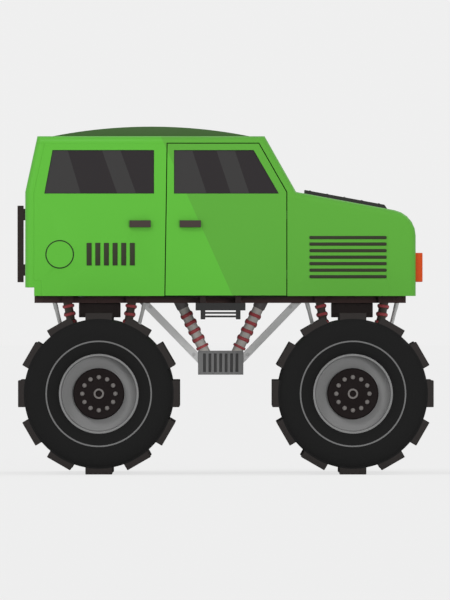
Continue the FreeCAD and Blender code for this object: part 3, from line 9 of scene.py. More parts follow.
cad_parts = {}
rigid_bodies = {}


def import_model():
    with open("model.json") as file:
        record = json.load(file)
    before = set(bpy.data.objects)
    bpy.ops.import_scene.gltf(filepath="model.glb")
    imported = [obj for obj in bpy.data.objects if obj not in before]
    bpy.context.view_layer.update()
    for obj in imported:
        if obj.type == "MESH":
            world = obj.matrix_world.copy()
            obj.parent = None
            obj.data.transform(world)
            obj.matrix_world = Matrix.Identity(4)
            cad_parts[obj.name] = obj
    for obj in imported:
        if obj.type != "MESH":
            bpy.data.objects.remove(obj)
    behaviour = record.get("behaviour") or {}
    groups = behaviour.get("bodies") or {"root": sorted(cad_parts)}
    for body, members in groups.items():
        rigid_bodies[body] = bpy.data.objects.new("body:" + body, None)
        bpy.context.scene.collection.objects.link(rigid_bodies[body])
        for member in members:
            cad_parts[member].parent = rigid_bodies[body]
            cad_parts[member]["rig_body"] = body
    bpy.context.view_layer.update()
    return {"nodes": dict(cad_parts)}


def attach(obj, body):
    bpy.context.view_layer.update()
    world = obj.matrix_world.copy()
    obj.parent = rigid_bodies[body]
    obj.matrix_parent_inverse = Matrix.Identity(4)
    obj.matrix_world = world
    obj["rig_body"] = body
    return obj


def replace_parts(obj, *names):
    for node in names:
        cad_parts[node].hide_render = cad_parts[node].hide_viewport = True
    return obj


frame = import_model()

# ------------------------------------------------------------------ studio
# Pale paper under and all round the truck, soft daylight from the front, and a very long lens square
# to the truck's right side, so that its outline is seen with hardly any foreshortening.
PAPER = (1.0, 1.0, 1.0, 1.0)
PAPER_SEEN = 0.865           # brightness of the paper where nothing shades it
SKY_LIGHT = 0.5
FLOOR_COLOUR = 0.9           # how much light the floor sends back on to the truck
FLOOR_SEEN = 0.2             # and how much of it is seen, so that shadows on it stay light
FLOOR_LIFT = 0.70            # added to the floor where it is seen, so that it meets the paper behind
ROOM = 200.0
PICTURE_HEIGHT = 6.25        # metres of the truck's side that the picture takes in
AIM = Vector((-0.009, -1.1, 1.812))
LENS = 1200.0
SENSOR = 36.0


def value_node(tree, operation, *inputs):
    """A maths node; its inputs are numbers or other nodes' outputs. Returns its output."""
    node = tree.nodes.new("ShaderNodeMath")
    node.operation = operation
    for place, value in enumerate(inputs):
        if isinstance(value, (int, float)):
            node.inputs[place].default_value = value
        else:
            tree.links.new(value, node.inputs[place])
    return node.outputs[0]


def add_object(name, data):
    thing = bpy.data.objects.new(name, data)
    bpy.context.scene.collection.objects.link(thing)
    return thing


world = bpy.data.worlds.new("studio_sky")
bpy.context.scene.world = world
world.use_nodes = True
sky_tree = world.node_tree
sky = sky_tree.nodes["Background"]
sky.inputs["Color"].default_value = PAPER
ray = sky_tree.nodes.new("ShaderNodeLightPath")
seen = value_node(sky_tree, "MAXIMUM", ray.outputs["Is Camera Ray"], ray.outputs["Is Transmission Ray"])
seen = value_node(sky_tree, "MAXIMUM", seen, ray.outputs["Is Glossy Ray"])
glow = value_node(sky_tree, "MULTIPLY_ADD", seen, PAPER_SEEN - SKY_LIGHT, SKY_LIGHT)
sky_tree.links.new(glow, sky.inputs["Strength"])

paper = bpy.data.materials.new("studio_paper")
paper.use_nodes = True
paper.node_tree.nodes["Principled BSDF"].inputs["Roughness"].default_value = 1.0
paper.node_tree.nodes["Principled BSDF"].inputs["Specular IOR Level"].default_value = 0.0
paper.node_tree.nodes["Principled BSDF"].inputs["Emission Color"].default_value = PAPER
floor_ray = paper.node_tree.nodes.new("ShaderNodeLightPath")
floor_seen = value_node(paper.node_tree, "MAXIMUM", floor_ray.outputs["Is Camera Ray"],
                        floor_ray.outputs["Is Transmission Ray"])
floor_seen = value_node(paper.node_tree, "MAXIMUM", floor_seen, floor_ray.outputs["Is Glossy Ray"])
floor_lift = value_node(paper.node_tree, "MULTIPLY", floor_seen, FLOOR_LIFT)
floor_tone = value_node(paper.node_tree, "MULTIPLY_ADD", floor_seen, FLOOR_SEEN - FLOOR_COLOUR, FLOOR_COLOUR)
paper.node_tree.links.new(floor_tone, paper.node_tree.nodes["Principled BSDF"].inputs["Base Color"])
paper.node_tree.links.new(floor_lift, paper.node_tree.nodes["Principled BSDF"].inputs["Emission Strength"])
floor_mesh = bpy.data.meshes.new("studio_floor")
floor_mesh.from_pydata([(-3 * ROOM, -ROOM, 0), (3 * ROOM, -ROOM, 0), (0, 3 * ROOM, 0)], [], [(0, 1, 2)])
floor_mesh.materials.append(paper)
add_object("studio_floor", floor_mesh)

# Suns: (name, where its light comes from, strength, angular size in degrees).
SUNS = [
    ("key_sun", (-0.6, -1.0, 0.85), 0.75, 20.0),
    ("fill_sun", (0.25, -1.0, 0.05), 1.6, 16.0),
    ("rim_sun", (0.8, 0.9, 1.2), 0.5, 30.0),
]
for sun_name, source, energy, softness in SUNS:
    light = bpy.data.lights.new(sun_name, "SUN")
    light.energy = energy
    light.angle = radians(softness)
    sun = add_object(sun_name, light)
    sun.visible_glossy = sun_name != "fill_sun"
    sun.location = Vector(source) * 6
    sun.rotation_mode = "QUATERNION"
    sun.rotation_quaternion = (-Vector(source)).to_track_quat("-Z", "Y")

camera_data = bpy.data.cameras.new("camera")
camera_data.lens = LENS
camera_data.sensor_fit = "VERTICAL"
camera_data.sensor_height = SENSOR
camera_data.sensor_width = SENSOR
camera_data.clip_start = 1.0
camera_data.clip_end = 1000.0
camera = add_object("camera", camera_data)
camera.location = AIM - Vector((0, PICTURE_HEIGHT * LENS / SENSOR, 0))
camera.rotation_euler = (pi / 2, 0, 0)
bpy.context.scene.camera = camera
bpy.context.scene.view_settings.view_transform = "Standard"

# ------------------------------------------------------------------ green body panels
# Pressed and welded sheet steel in green enamel with a painted sheen: a leaf green behind a raking line
# behind the front of the door is painted sheen, with a deeper green ahead. Every fold is softened, as on real panels.
# Painted sheen: the paler green lies behind the line where x + slope * z passes the start.
SHEEN_EDGE_SLOPE = 0.4505         # the enamels meet where x + slope * z passes SHEEN_EDGE_START
SHEEN_EDGE_START = 0.906
# The hinge lugs in the gap ahead of each door are painted dark green below UPPER_LUG_TOP: painted shade in the gap.
DOOR_FRONT_GAP = (0.632, 0.640)   # x of the gap ahead of each door, where the hinges' lugs are dark
UPPER_LUG_TOP = 2.80


def srgb(red, green, blue):
    """A colour given as 8-bit display values, as linear light."""
    linear = []
    for value in (red, green, blue):
        part = value / 255
        linear.append(part / 12.92 if part <= 0.04045 else ((part + 0.055) / 1.055) ** 2.4)
    return (*linear, 1.0)


def object_place(tree):
    """The point being shaded, in the truck's own frame, as a vector and its three parts."""
    place = tree.nodes.new("ShaderNodeTexCoord")
    parts = tree.nodes.new("ShaderNodeSeparateXYZ")
    tree.links.new(place.outputs["Object"], parts.inputs[0])
    return place.outputs["Object"], parts.outputs


def noise(tree, place, scale, detail=3.0):
    grain = tree.nodes.new("ShaderNodeTexNoise")
    grain.inputs["Scale"].default_value = scale
    grain.inputs["Detail"].default_value = detail
    tree.links.new(place, grain.inputs["Vector"])
    return grain.outputs["Fac"]


def blend_colours(tree, amount, first, second):
    """Two colours mixed by a value; each is a colour or another node's output."""
    mix = tree.nodes.new("ShaderNodeMix")
    mix.data_type = "RGBA"
    tree.links.new(amount, mix.inputs["Factor"])
    for socket, colour in ((mix.inputs["A"], first), (mix.inputs["B"], second)):
        if isinstance(colour, tuple):
            socket.default_value = colour
        else:
            tree.links.new(colour, socket)
    return mix.outputs["Result"]


def finish_of(name, colour, roughness, metallic=0.0, grain=40.0, wear=0.08, bump=0.0, specular=0.3):
    """A procedural finish: an even colour with a slight cloudiness in its colour and its gloss."""
    material = bpy.data.materials.new(name)
    material.use_nodes = True
    tree = material.node_tree
    shader = tree.nodes["Principled BSDF"]
    shader.inputs["Metallic"].default_value = metallic
    shader.inputs["Specular IOR Level"].default_value = specular
    place, parts = object_place(tree)
    cloud = noise(tree, place, grain)
    darker = tuple(channel * (1 - wear) for channel in colour[:3]) + (1.0,)
    lighter = tuple(min(1.0, channel * (1 + wear)) for channel in colour[:3]) + (1.0,)
    tree.links.new(blend_colours(tree, cloud, darker, lighter), shader.inputs["Base Color"])
    gloss = value_node(tree, "MULTIPLY_ADD", cloud, 0.2 * roughness, 0.9 * roughness)
    tree.links.new(gloss, shader.inputs["Roughness"])
    if bump:
        relief = tree.nodes.new("ShaderNodeBump")
        relief.inputs["Distance"].default_value = bump
        relief.inputs["Strength"].default_value = 0.6
        tree.links.new(noise(tree, place, grain * 6), relief.inputs["Height"])
        tree.links.new(relief.outputs[0], shader.inputs["Normal"])
    return material


def enamel():
    """The body paint: a painted sheen of paler green behind the raking line, and painted shade on the hinge lugs in the
    doors' gaps.
    """
    material = finish_of("body_enamel_with_painted_light", srgb(88, 176, 52), 0.45, grain=3.0, wear=0.01)
    tree = material.node_tree
    shader = tree.nodes["Principled BSDF"]
    place, parts = object_place(tree)
    # Painted sheen: the paler green behind the raking line, the deeper green ahead of it.
    sheen_edge = value_node(tree, "MULTIPLY_ADD", parts[2], SHEEN_EDGE_SLOPE, parts[0])
    ahead = value_node(tree, "GREATER_THAN", sheen_edge, SHEEN_EDGE_START)
    sheen_green = shader.inputs["Base Color"].links[0].from_socket
    greens_with_painted_sheen = blend_colours(tree, ahead, sheen_green, srgb(85, 160, 51))
    # Painted shade: the hinge lugs in the gap ahead of each door take a dark green.
    in_gap = value_node(tree, "COMPARE", parts[0], sum(DOOR_FRONT_GAP) / 2,
                        (DOOR_FRONT_GAP[1] - DOOR_FRONT_GAP[0]) / 2)
    beside_lugs = value_node(tree, "LESS_THAN", parts[2], UPPER_LUG_TOP)
    gap_shade_on_lugs = value_node(tree, "MULTIPLY", in_gap, beside_lugs)
    tree.links.new(blend_colours(tree, gap_shade_on_lugs, greens_with_painted_sheen, srgb(40, 66, 30)), shader.inputs["Base Color"])
    return material


def evaluated_mesh(thing):
    """The object's mesh with its modifiers carried out."""
    return bpy.data.meshes.new_from_object(thing.evaluated_get(bpy.context.evaluated_depsgraph_get()))


def shade(mesh, smooth):
    """Shades a mesh smooth wherever it bends by less than this angle."""
    for face in mesh.polygons:
        face.use_smooth = True
    mesh.set_sharp_from_angle(angle=radians(smooth))


def fitted(thing, mesh, body):
    """Joins a piece to its body."""
    thing.data = mesh
    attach(thing, body)
    return thing


def merged_form(node):
    """An editable copy of a CAD piece with its facets joined into flat faces."""
    form = bmesh.new()
    form.from_mesh(frame["nodes"][node].data)
    bmesh.ops.remove_doubles(form, verts=form.verts, dist=0.00002)
    bmesh.ops.dissolve_limit(form, angle_limit=radians(0.6), verts=form.verts, edges=form.edges)
    return form


def refined(node, finish, edge=0.004, smooth=30.0):
    """The CAD piece's own form with its sharp edges broken; it stands for the CAD piece."""
    form = merged_form(node)
    for face in form.faces:
        face.material_index = 0
    mesh = bpy.data.meshes.new(node + "_form")
    form.to_mesh(mesh)
    form.free()
    mesh.materials.append(finish)
    shade(mesh, smooth)
    thing = add_object(node + "_form", mesh)
    if edge:
        modifier = thing.modifiers.new("broken_edges", "BEVEL")
        modifier.width = edge
        modifier.segments = 2
        modifier.limit_method = "ANGLE"
        modifier.angle_limit = radians(smooth)
        modifier.harden_normals = True
        mesh = evaluated_mesh(thing)
        thing.modifiers.clear()
    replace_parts(fitted(thing, mesh, frame["nodes"][node]["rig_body"]), node)
    return thing


body_enamel_with_painted_light = enamel()
for panel in ("roof", "rear_frame", "quarter_panels", "windscreen_frame", "front_wings", "nose_panel",
              "door_right", "door_left", "rear_door", "bonnet"):
    refined(panel, body_enamel_with_painted_light, edge=0.003)

# ------------------------------------------------------------------ roof cap
# A shallow pressed dome bonded to the roof, in a dull olive green that is painted shade on the roof's top.
refined("roof_cap", finish_of("cap_enamel_and_shade", srgb(60, 95, 44), 0.8, grain=3.0, wear=0.02, specular=0.1))

# ------------------------------------------------------------------ rubber seals
# Extruded rubber: a bulb seal on the body behind each door's and the bonnet's shut line, which also
# keeps the light out, and a thin strip that holds each pane in its opening.


def node_group(name, inputs):
    """A geometry node group: (input's name, socket type) pairs in, one geometry out."""
    group = bpy.data.node_groups.new(name, "GeometryNodeTree")
    for label, kind in inputs:
        group.interface.new_socket(label, in_out="INPUT", socket_type=kind)
    group.interface.new_socket("Geometry", in_out="OUTPUT", socket_type="NodeSocketGeometry")
    return group, group.nodes.new("NodeGroupInput").outputs, group.nodes.new("NodeGroupOutput").inputs


def group_node(group, kind, **wires):
    """A node in the group; wires are its inputs by name, each an output or a plain value."""
    node = group.nodes.new(kind)
    for label, value in wires.items():
        socket = node.inputs[label.replace("_", " ")]
        if isinstance(value, bpy.types.NodeSocket):
            group.links.new(value, socket)
        else:
            socket.default_value = value
    return node


def finished(group, geometry, given, result):
    """Ends a group: its geometry takes the finish that the modifier names."""
    coated = group_node(group, "GeometryNodeSetMaterial", Geometry=geometry, Material=given["Finish"])
    group.links.new(coated.outputs["Geometry"], result["Geometry"])


def made_by(group, values, source=None):
    """The mesh that the group makes from these input values, and from a source mesh if it takes one."""
    carrier = add_object("carrier", source or bpy.data.meshes.new("no_points"))
    modifier = carrier.modifiers.new("made", "NODES")
    modifier.node_group = group
    for item in group.interface.items_tree:
        if item.name in values:
            modifier[item.identifier] = values[item.name]
    carrier.update_tag()
    mesh = evaluated_mesh(carrier)
    bpy.data.objects.remove(carrier)
    return mesh


def gathered(name, copies, body, smooth=35.0):
    """One piece made of (mesh, place) copies of one finish, riding on a CAD body."""
    form = bmesh.new()
    for mesh, place in copies:
        copy = mesh.copy()
        copy.transform(place)
        form.from_mesh(copy)
    bmesh.ops.recalc_face_normals(form, faces=form.faces)
    whole = bpy.data.meshes.new(name)
    form.to_mesh(whole)
    form.free()
    whole.materials.append(copies[0][0].materials[0])
    shade(whole, smooth)
    return fitted(add_object(name, whole), whole, body)


def outlines(node, outward):
    """The outlines, longest first, of a CAD piece's faces that look this way."""
    form = merged_form(node)
    looking = {face for face in form.faces if face.normal.dot(outward) > 0.9}
    edges = {edge for edge in form.edges if sum(face in looking for face in edge.link_faces) == 1}
    loops = []
    while edges:
        edge = edges.pop()
        first, last = edge.verts
        loop = [first, last]
        while last is not first:
            edge = next(other for other in last.link_edges if other in edges)
            edges.discard(edge)
            last = edge.other_vert(last)
            loop.append(last)
        loops.append([vertex.co.copy() for vertex in loop[:-1]])
    form.free()
    return sorted(loops, key=lambda points: -sum((a - b).length for a, b in zip(points, points[1:])))


def moved_outline(points, facing, grown, raised):
    """An outline grown in its own plane and raised along the way it faces."""
    spin = sum(((a.cross(b)).dot(facing) for a, b in zip(points, points[1:] + points[:1])))
    turn = 1 if spin > 0 else -1
    moved = []
    for before, here, after in zip(points[-1:] + points[:-1], points, points[1:] + points[:1]):
        first = (here - before).normalized().cross(facing) * turn
        second = (after - here).normalized().cross(facing) * turn
        moved.append(here + (first + second) * (grown / (1 + first.dot(second))) + facing * raised)
    return moved


strip_group, given, result = node_group("strip_along", [
    ("Outline", "NodeSocketGeometry"), ("Radius", "NodeSocketFloat"), ("Finish", "NodeSocketMaterial")])
path = group_node(strip_group, "GeometryNodeMeshToCurve", Mesh=given["Outline"])
section = group_node(strip_group, "GeometryNodeCurvePrimitiveCircle", Resolution=10, Radius=given["Radius"])
strip = group_node(strip_group, "GeometryNodeCurveToMesh", Curve=path.outputs["Curve"],
                   Profile_Curve=section.outputs["Curve"])
finished(strip_group, strip.outputs["Mesh"], given, result)


def strip_mesh(points, radius, finish):
    """A round strip along a closed outline."""
    line = bpy.data.meshes.new("outline")
    line.from_pydata([tuple(point) for point in points], [(n, (n + 1) % len(points)) for n in range(len(points))], [])
    return made_by(strip_group, {"Radius": radius, "Finish": finish}, line)


seal_rubber = finish_of("seal_rubber", srgb(34, 40, 30), 0.8, wear=0.05, specular=0.2)
RIGHT, LEFT, AHEAD, ASTERN = Vector((0, -1, 0)), Vector((0, 1, 0)), Vector((1, 0, 0)), Vector((-1, 0, 0))
REAR_LEAN = Vector((-0.977, 0, 0.213))
SCREEN_LEAN = Vector((0.870, 0, 0.493))
UNDER_BONNET = Vector((-0.182, 0, -0.983))
SEAL_RADIUS = 0.014
SEAL_GROWN = 0.009           # the seal's middle outside the door's edge
SEAL_INSIDE = 0.011          # and inside its inner face
doors = (("door_right", LEFT), ("door_left", RIGHT), ("rear_door", AHEAD), ("bonnet", UNDER_BONNET))
seals = [(strip_mesh(moved_outline(outlines(door, inward)[0], inward, SEAL_GROWN, SEAL_INSIDE), SEAL_RADIUS,
                     seal_rubber), Matrix.Identity(4)) for door, inward in doors]
gathered("body_seals", seals, "chassis", 60.0)

STRIP_RADIUS = 0.005
# Panes: (CAD piece, body, the ways that its panes face, how many panes face each way).
PANES = [
    ("cab_glass", "chassis", (RIGHT, LEFT, SCREEN_LEAN), 1),
    ("door_glass_right", "door_right", (RIGHT,), 1),
    ("door_glass_left", "door_left", (LEFT,), 1),
    ("rear_door_glass", "rear_door", (REAR_LEAN,), 1),
]
for pane, body, ways, count in PANES:
    strips = [(strip_mesh(outline, STRIP_RADIUS, seal_rubber), Matrix.Identity(4))
              for way in ways for outline in outlines(pane, way)[:count]]
    gathered(pane + "_strip", strips, body, 60.0)

# ------------------------------------------------------------------ windows
# Flat panes of dark privacy glass, with two paler bands leaning forward in each side window that are
# painted reflections.
WINDOW_SILL, WINDOW_TOP = 2.922, 3.376
# Paler bands, painted reflections: (rear edge at the sill, front edge at the sill, rear edge at the top, front edge at
# the top).
BANDS = [
    (-2.2, -1.515, -2.2, -1.651),
    (-1.133, -0.937, -1.293, -1.101),
    (-0.6, -0.201, -0.6, -0.352),
    (0.052, 0.244, -0.1, 0.092),
]


def reflection_band_amount(tree, parts):
    """1 inside any of the paler bands of painted reflection, which run with the leaning of their edges."""
    height = value_node(tree, "SUBTRACT", parts[2], WINDOW_SILL)
    total = None
    for rear_sill, front_sill, rear_top, front_top in BANDS:
        lean_rear = (rear_top - rear_sill) / (WINDOW_TOP - WINDOW_SILL)
        lean_front = (front_top - front_sill) / (WINDOW_TOP - WINDOW_SILL)
        rear = value_node(tree, "MULTIPLY_ADD", height, lean_rear, rear_sill)
        front = value_node(tree, "MULTIPLY_ADD", height, lean_front, front_sill)
        past_rear = value_node(tree, "GREATER_THAN", parts[0], rear)
        before_front = value_node(tree, "LESS_THAN", parts[0], front)
        inside = value_node(tree, "MULTIPLY", past_rear, before_front)
        total = inside if total is None else value_node(tree, "MAXIMUM", total, inside)
    return total


def privacy_glass():
    """Dark glass that lets a little light through, so that the cab shows faintly behind it."""
    material = bpy.data.materials.new("privacy_glass")
    material.use_nodes = True
    tree = material.node_tree
    shader = tree.nodes["Principled BSDF"]
    place, parts = object_place(tree)
    amount = reflection_band_amount(tree, parts)
    # The paler bands are painted reflections on the glass.
    tree.links.new(blend_colours(tree, amount, srgb(39, 35, 37), srgb(54, 53, 53)), shader.inputs["Base Color"])
    shader.inputs["Roughness"].default_value = 0.1
    shader.inputs["Specular IOR Level"].default_value = 0.25
    through = tree.nodes.new("ShaderNodeBsdfTransparent")
    through.inputs["Color"].default_value = (0.5, 0.5, 0.5, 1)
    mix = tree.nodes.new("ShaderNodeMixShader")
    cloud = noise(tree, place, 2.0)
    tree.links.new(value_node(tree, "MULTIPLY_ADD", cloud, 0.02, 0.05), mix.inputs[0])
    tree.links.new(shader.outputs[0], mix.inputs[1])
    tree.links.new(through.outputs[0], mix.inputs[2])
    tree.links.new(mix.outputs[0], tree.nodes["Material Output"].inputs["Surface"])
    return material


def repaint(node, finish):
    """Gives a CAD piece whose form is right as it is a better material."""
    mesh = frame["nodes"][node].data
    mesh.materials.clear()
    mesh.materials.append(finish)


glass = privacy_glass()
for pane in ("cab_glass", "door_glass_right", "door_glass_left", "rear_door_glass"):
    repaint(pane, glass)

# ------------------------------------------------------------------ louvres and fuel flap
# Pressed slats let into the body sides: six upright ones behind the door and seven level ones with
# round ends ahead of it, and on the right the fuel flap's thin dark seam.
SIDE_LEAN = radians(2.9)     # each side leans in by this much
SILL_Z = 1.854
SILL_HALF_WIDTH = 0.900
SLAT_PROUD = 0.006           # how far the slats stand out of the side


def side_distance(z):
    """How far the body's side is from the centre plane at this height."""
    return SILL_HALF_WIDTH - (z - SILL_Z) * tan(SIDE_LEAN)


def on_side(side, x, z, proud=0.0):
    """The placing that puts a form's +Z out of the body's side there; side is -1 right, 1 left."""
    lean = Matrix.Rotation(-side * (pi / 2 - SIDE_LEAN), 4, "X")
    outward = lean.to_3x3() @ Vector((0, 0, 1))
    return Matrix.Translation(Vector((x, side * side_distance(z), z)) + outward * proud) @ lean


def prism_mesh(points, low, high, finish, edge=0.0, segments=2):
    """A solid between two heights over an outline of (x, y) points, its edges rounded."""
    form = bmesh.new()
    base = [form.verts.new((x, y, low)) for x, y in points]
    face = form.faces.new(base)
    top = bmesh.ops.extrude_face_region(form, geom=[face])["geom"]
    bmesh.ops.translate(form, verts=[item for item in top if isinstance(item, bmesh.types.BMVert)],
                        vec=(0, 0, high - low))
    if edge:
        sharp = [item for item in form.edges if item.calc_face_angle(0) > radians(35)]
        bmesh.ops.bevel(form, geom=sharp, offset=edge, segments=segments, affect="EDGES", profile=0.5)
    bmesh.ops.recalc_face_normals(form, faces=form.faces)
    mesh = bpy.data.meshes.new("prism")
    form.to_mesh(mesh)
    form.free()
    mesh.materials.append(finish)
    return mesh


def block_mesh(low, high, finish, edge=0.004):
    outline = [(low[0], low[1]), (high[0], low[1]), (high[0], high[1]), (low[0], high[1])]
    return prism_mesh(outline, low[2], high[2], finish, edge)


spread_group, given, result = node_group("copies_on_points", [
    ("Points", "NodeSocketGeometry"), ("Pattern", "NodeSocketObject"), ("Rotation", "NodeSocketVector"),
    ("Finish", "NodeSocketMaterial")])
pattern = group_node(spread_group, "GeometryNodeObjectInfo", Object=given["Pattern"])
placed = group_node(spread_group, "GeometryNodeInstanceOnPoints", Points=given["Points"],
                    Instance=pattern.outputs["Geometry"], Rotation=given["Rotation"])
real = group_node(spread_group, "GeometryNodeRealizeInstances", Geometry=placed.outputs["Instances"])
finished(spread_group, real.outputs["Geometry"], given, result)


def spread(mesh, places, rotation=(0.0, 0.0, 0.0)):
    """Copies of a mesh at these places, each turned by the same angles."""
    points = bpy.data.meshes.new("places")
    points.from_pydata([tuple(place) for place in places], [], [])
    pattern_object = add_object("pattern", mesh)
    copies = made_by(spread_group, {"Pattern": pattern_object, "Rotation": rotation,
                                    "Finish": mesh.materials[0]}, points)
    bpy.data.objects.remove(pattern_object)
    return copies


louvre_paint = finish_of("louvre_paint", srgb(44, 47, 31), 0.6, wear=0.04)
REAR_SLATS = [-1.426 + n * 0.0902 for n in range(6)]      # middle of each
REAR_SLAT_WIDTH = 0.052
REAR_SLAT_MIDDLE, REAR_SLAT_HEIGHT = 2.290, 0.236
FRONT_SLATS = [2.463 - n * 0.068 for n in range(7)]       # middle height of each
FRONT_SLAT_MIDDLE, FRONT_SLAT_LENGTH, FRONT_SLAT_HEIGHT = 1.274, 0.806, 0.034
half, round_end = FRONT_SLAT_LENGTH / 2 - FRONT_SLAT_HEIGHT / 2, FRONT_SLAT_HEIGHT / 2
front_outline = [(end * (half + round_end * cos(turn)), end * round_end * sin(turn))
                 for end in (1, -1) for turn in [radians(angle) for angle in range(-90, 91, 18)]]
front_slat = prism_mesh(front_outline, -0.01, SLAT_PROUD, louvre_paint, 0.003)
rear_slat = prism_mesh([(-REAR_SLAT_WIDTH / 2, -REAR_SLAT_HEIGHT / 2), (REAR_SLAT_WIDTH / 2, -REAR_SLAT_HEIGHT / 2),
                        (REAR_SLAT_WIDTH / 2, REAR_SLAT_HEIGHT / 2), (-REAR_SLAT_WIDTH / 2, REAR_SLAT_HEIGHT / 2)],
                       -0.01, SLAT_PROUD, louvre_paint, 0.003)
slats = []
for side in (-1, 1):
    turn = on_side(side, 0, SILL_Z).to_euler()
    front_places = [on_side(side, FRONT_SLAT_MIDDLE, z).translation for z in FRONT_SLATS]
    rear_places = [on_side(side, x, REAR_SLAT_MIDDLE).translation for x in REAR_SLATS]
    slats.append((spread(front_slat, front_places, turn), Matrix.Identity(4)))
    slats.append((spread(rear_slat, rear_places, turn), Matrix.Identity(4)))
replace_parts(gathered("louvre_slats", slats, "chassis"), "side_louvres")


def lathe_mesh(profile, finish, steps=64, closed=False):
    """A form turned about +Z from (height, radius) points; closed joins the last to the first."""
    form = bmesh.new()
    turns = [2 * pi * n / steps for n in range(steps)]
    rings = [[form.verts.new((radius * cos(turn), radius * sin(turn), height)) for turn in turns]
             for height, radius in profile]
    pairs = list(zip(rings, rings[1:])) + ([(rings[-1], rings[0])] if closed else [])
    for first, second in pairs:
        for n in range(steps):
            after = (n + 1) % steps
            form.faces.new((first[n], first[after], second[after], second[n]))
    bmesh.ops.remove_doubles(form, verts=form.verts, dist=0.00001)
    bmesh.ops.recalc_face_normals(form, faces=form.faces)
    mesh = bpy.data.meshes.new("lathe")
    form.to_mesh(mesh)
    form.free()
    mesh.materials.append(finish)
    return mesh


FLAP_X, FLAP_Z, FLAP_RADIUS = -1.733, 2.288, 0.1495
seam_green = finish_of("seam_green", srgb(30, 50, 22), 0.7, wear=0.04)
seam = lathe_mesh([(-0.002, FLAP_RADIUS), (0.0035, FLAP_RADIUS), (0.0045, FLAP_RADIUS - 0.002),
                   (0.0045, FLAP_RADIUS - 0.012), (0.0032, FLAP_RADIUS - 0.0125), (-0.002, FLAP_RADIUS - 0.0125)],
                  seam_green, 96, closed=True)
gathered("fuel_flap_seam", [(seam, on_side(-1, FLAP_X, FLAP_Z))], "chassis")

# ------------------------------------------------------------------ handles
# Cast grab handles on two feet, one beside each door's rear edge and one on the panel behind it.
handle_paint = finish_of("handle_paint", srgb(60, 50, 47), 0.55, wear=0.05)
for handle in ("quarter_handles", "door_handle_right", "door_handle_left"):
    refined(handle, handle_paint, edge=0.003)

# ------------------------------------------------------------------ grille and lamps
# A black moulded grille between round headlamps, each with a bright rim, a reflector bowl, a bulb
# and a domed glass; amber lamps stand out at the nose's corners, red ones are let into the rear.
trim_black = finish_of("trim_black", srgb(40, 36, 34), 0.5, wear=0.05)
refined("grille", trim_black, edge=0.003)
GRILLE_X = 1.934
GRILLE_HALF_WIDTH, GRILLE_BOTTOM, GRILLE_TOP = 0.376, 2.084, 2.396
rod = prism_mesh([(0.0015 * cos(radians(turn)), 0.0015 * sin(radians(turn))) for turn in range(0, 360, 60)],
                 GRILLE_BOTTOM, GRILLE_TOP, trim_black)
MESH_PITCH = 0.016
mesh_steps = int(2 * GRILLE_HALF_WIDTH / MESH_PITCH) + 1
gathered("grille_mesh", [(spread(rod, [(GRILLE_X, -GRILLE_HALF_WIDTH + n * MESH_PITCH, 0)
                                       for n in range(mesh_steps)]), Matrix.Identity(4))], "chassis")


def lens_of(name, colour, direction="Y"):
    """Moulded lens plastic, fluted by fine ribs."""
    material = finish_of(name, colour, 0.3, grain=4.0, wear=0.02)
    tree = material.node_tree
    place, parts = object_place(tree)
    ribs = tree.nodes.new("ShaderNodeTexWave")
    ribs.wave_type = "BANDS"
    ribs.bands_direction = direction
    ribs.inputs["Scale"].default_value = 30.0
    tree.links.new(place, ribs.inputs["Vector"])
    relief = tree.nodes.new("ShaderNodeBump")
    relief.inputs["Distance"].default_value = 0.002
    relief.inputs["Strength"].default_value = 0.3
    tree.links.new(ribs.outputs["Fac"], relief.inputs["Height"])
    tree.links.new(relief.outputs[0], tree.nodes["Principled BSDF"].inputs["Normal"])
    return material


def clear_glass():
    material = lens_of("lens_clear", srgb(240, 243, 245))
    shader = material.node_tree.nodes["Principled BSDF"]
    shader.inputs["Transmission Weight"].default_value = 0.9
    shader.inputs["IOR"].default_value = 1.45
    return material


lamp_chrome = finish_of("lamp_chrome", srgb(205, 208, 212), 0.15, metallic=0.9, wear=0.01)
bulb_glass = finish_of("bulb_glass", srgb(250, 246, 230), 0.2, wear=0.01)
HEADLAMP_BACK, HEADLAMP_DISTANCE, HEADLAMP_Z, HEADLAMP_RADIUS = 1.940, 0.530, 2.300, 0.096
forward = Matrix.Rotation(pi / 2, 4, "Y")
headlamp_places = [Matrix.Translation((HEADLAMP_BACK, side * HEADLAMP_DISTANCE, HEADLAMP_Z)) @ forward
                   for side in (-1, 1)]
bezel = lathe_mesh([(0.0, 0.084), (0.0, HEADLAMP_RADIUS), (0.034, HEADLAMP_RADIUS), (0.040, 0.092), (0.040, 0.087),
                    (0.036, 0.084)], lamp_chrome, 64, closed=True)
bowl = lathe_mesh([(0.002, 0.0), (0.002, 0.016), (0.006, 0.045), (0.014, 0.070), (0.026, 0.085), (0.028, 0.085),
                   (0.028, 0.0835), (0.016, 0.068), (0.008, 0.044), (0.004, 0.015), (0.004, 0.0)], lamp_chrome, 64)
bulb = lathe_mesh([(0.004, 0.0), (0.004, 0.012), (0.018, 0.014), (0.024, 0.009), (0.026, 0.0)], bulb_glass, 24)
dome = lathe_mesh([(0.0285, 0.0845), (0.0325, 0.083), (0.036, 0.060), (0.0385, 0.030), (0.0395, 0.0), (0.0365, 0.0),
                   (0.0355, 0.030), (0.033, 0.058), (0.030, 0.080), (0.0285, 0.081)], clear_glass(), 64)
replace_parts(gathered("headlamp_rims", [(bezel, place) for place in headlamp_places], "chassis"),
            "headlamps")
gathered("headlamp_bowls", [(bowl, place) for place in headlamp_places], "chassis")
gathered("headlamp_bulbs", [(bulb, place) for place in headlamp_places], "chassis")
gathered("headlamp_glasses", [(dome, place) for place in headlamp_places], "chassis")
refined("marker_lamps", lens_of("lens_amber", srgb(199, 69, 8), "Z"), edge=0.006)
refined("tail_lamps", lens_of("lens_red", srgb(150, 24, 20), "Z"), edge=0.006)

# ------------------------------------------------------------------ bonnet plate and rear ladder
# A flat steel plate held down on the bonnet by ten bolts, and a square-tube ladder bolted to the
# rear door by its four feet.


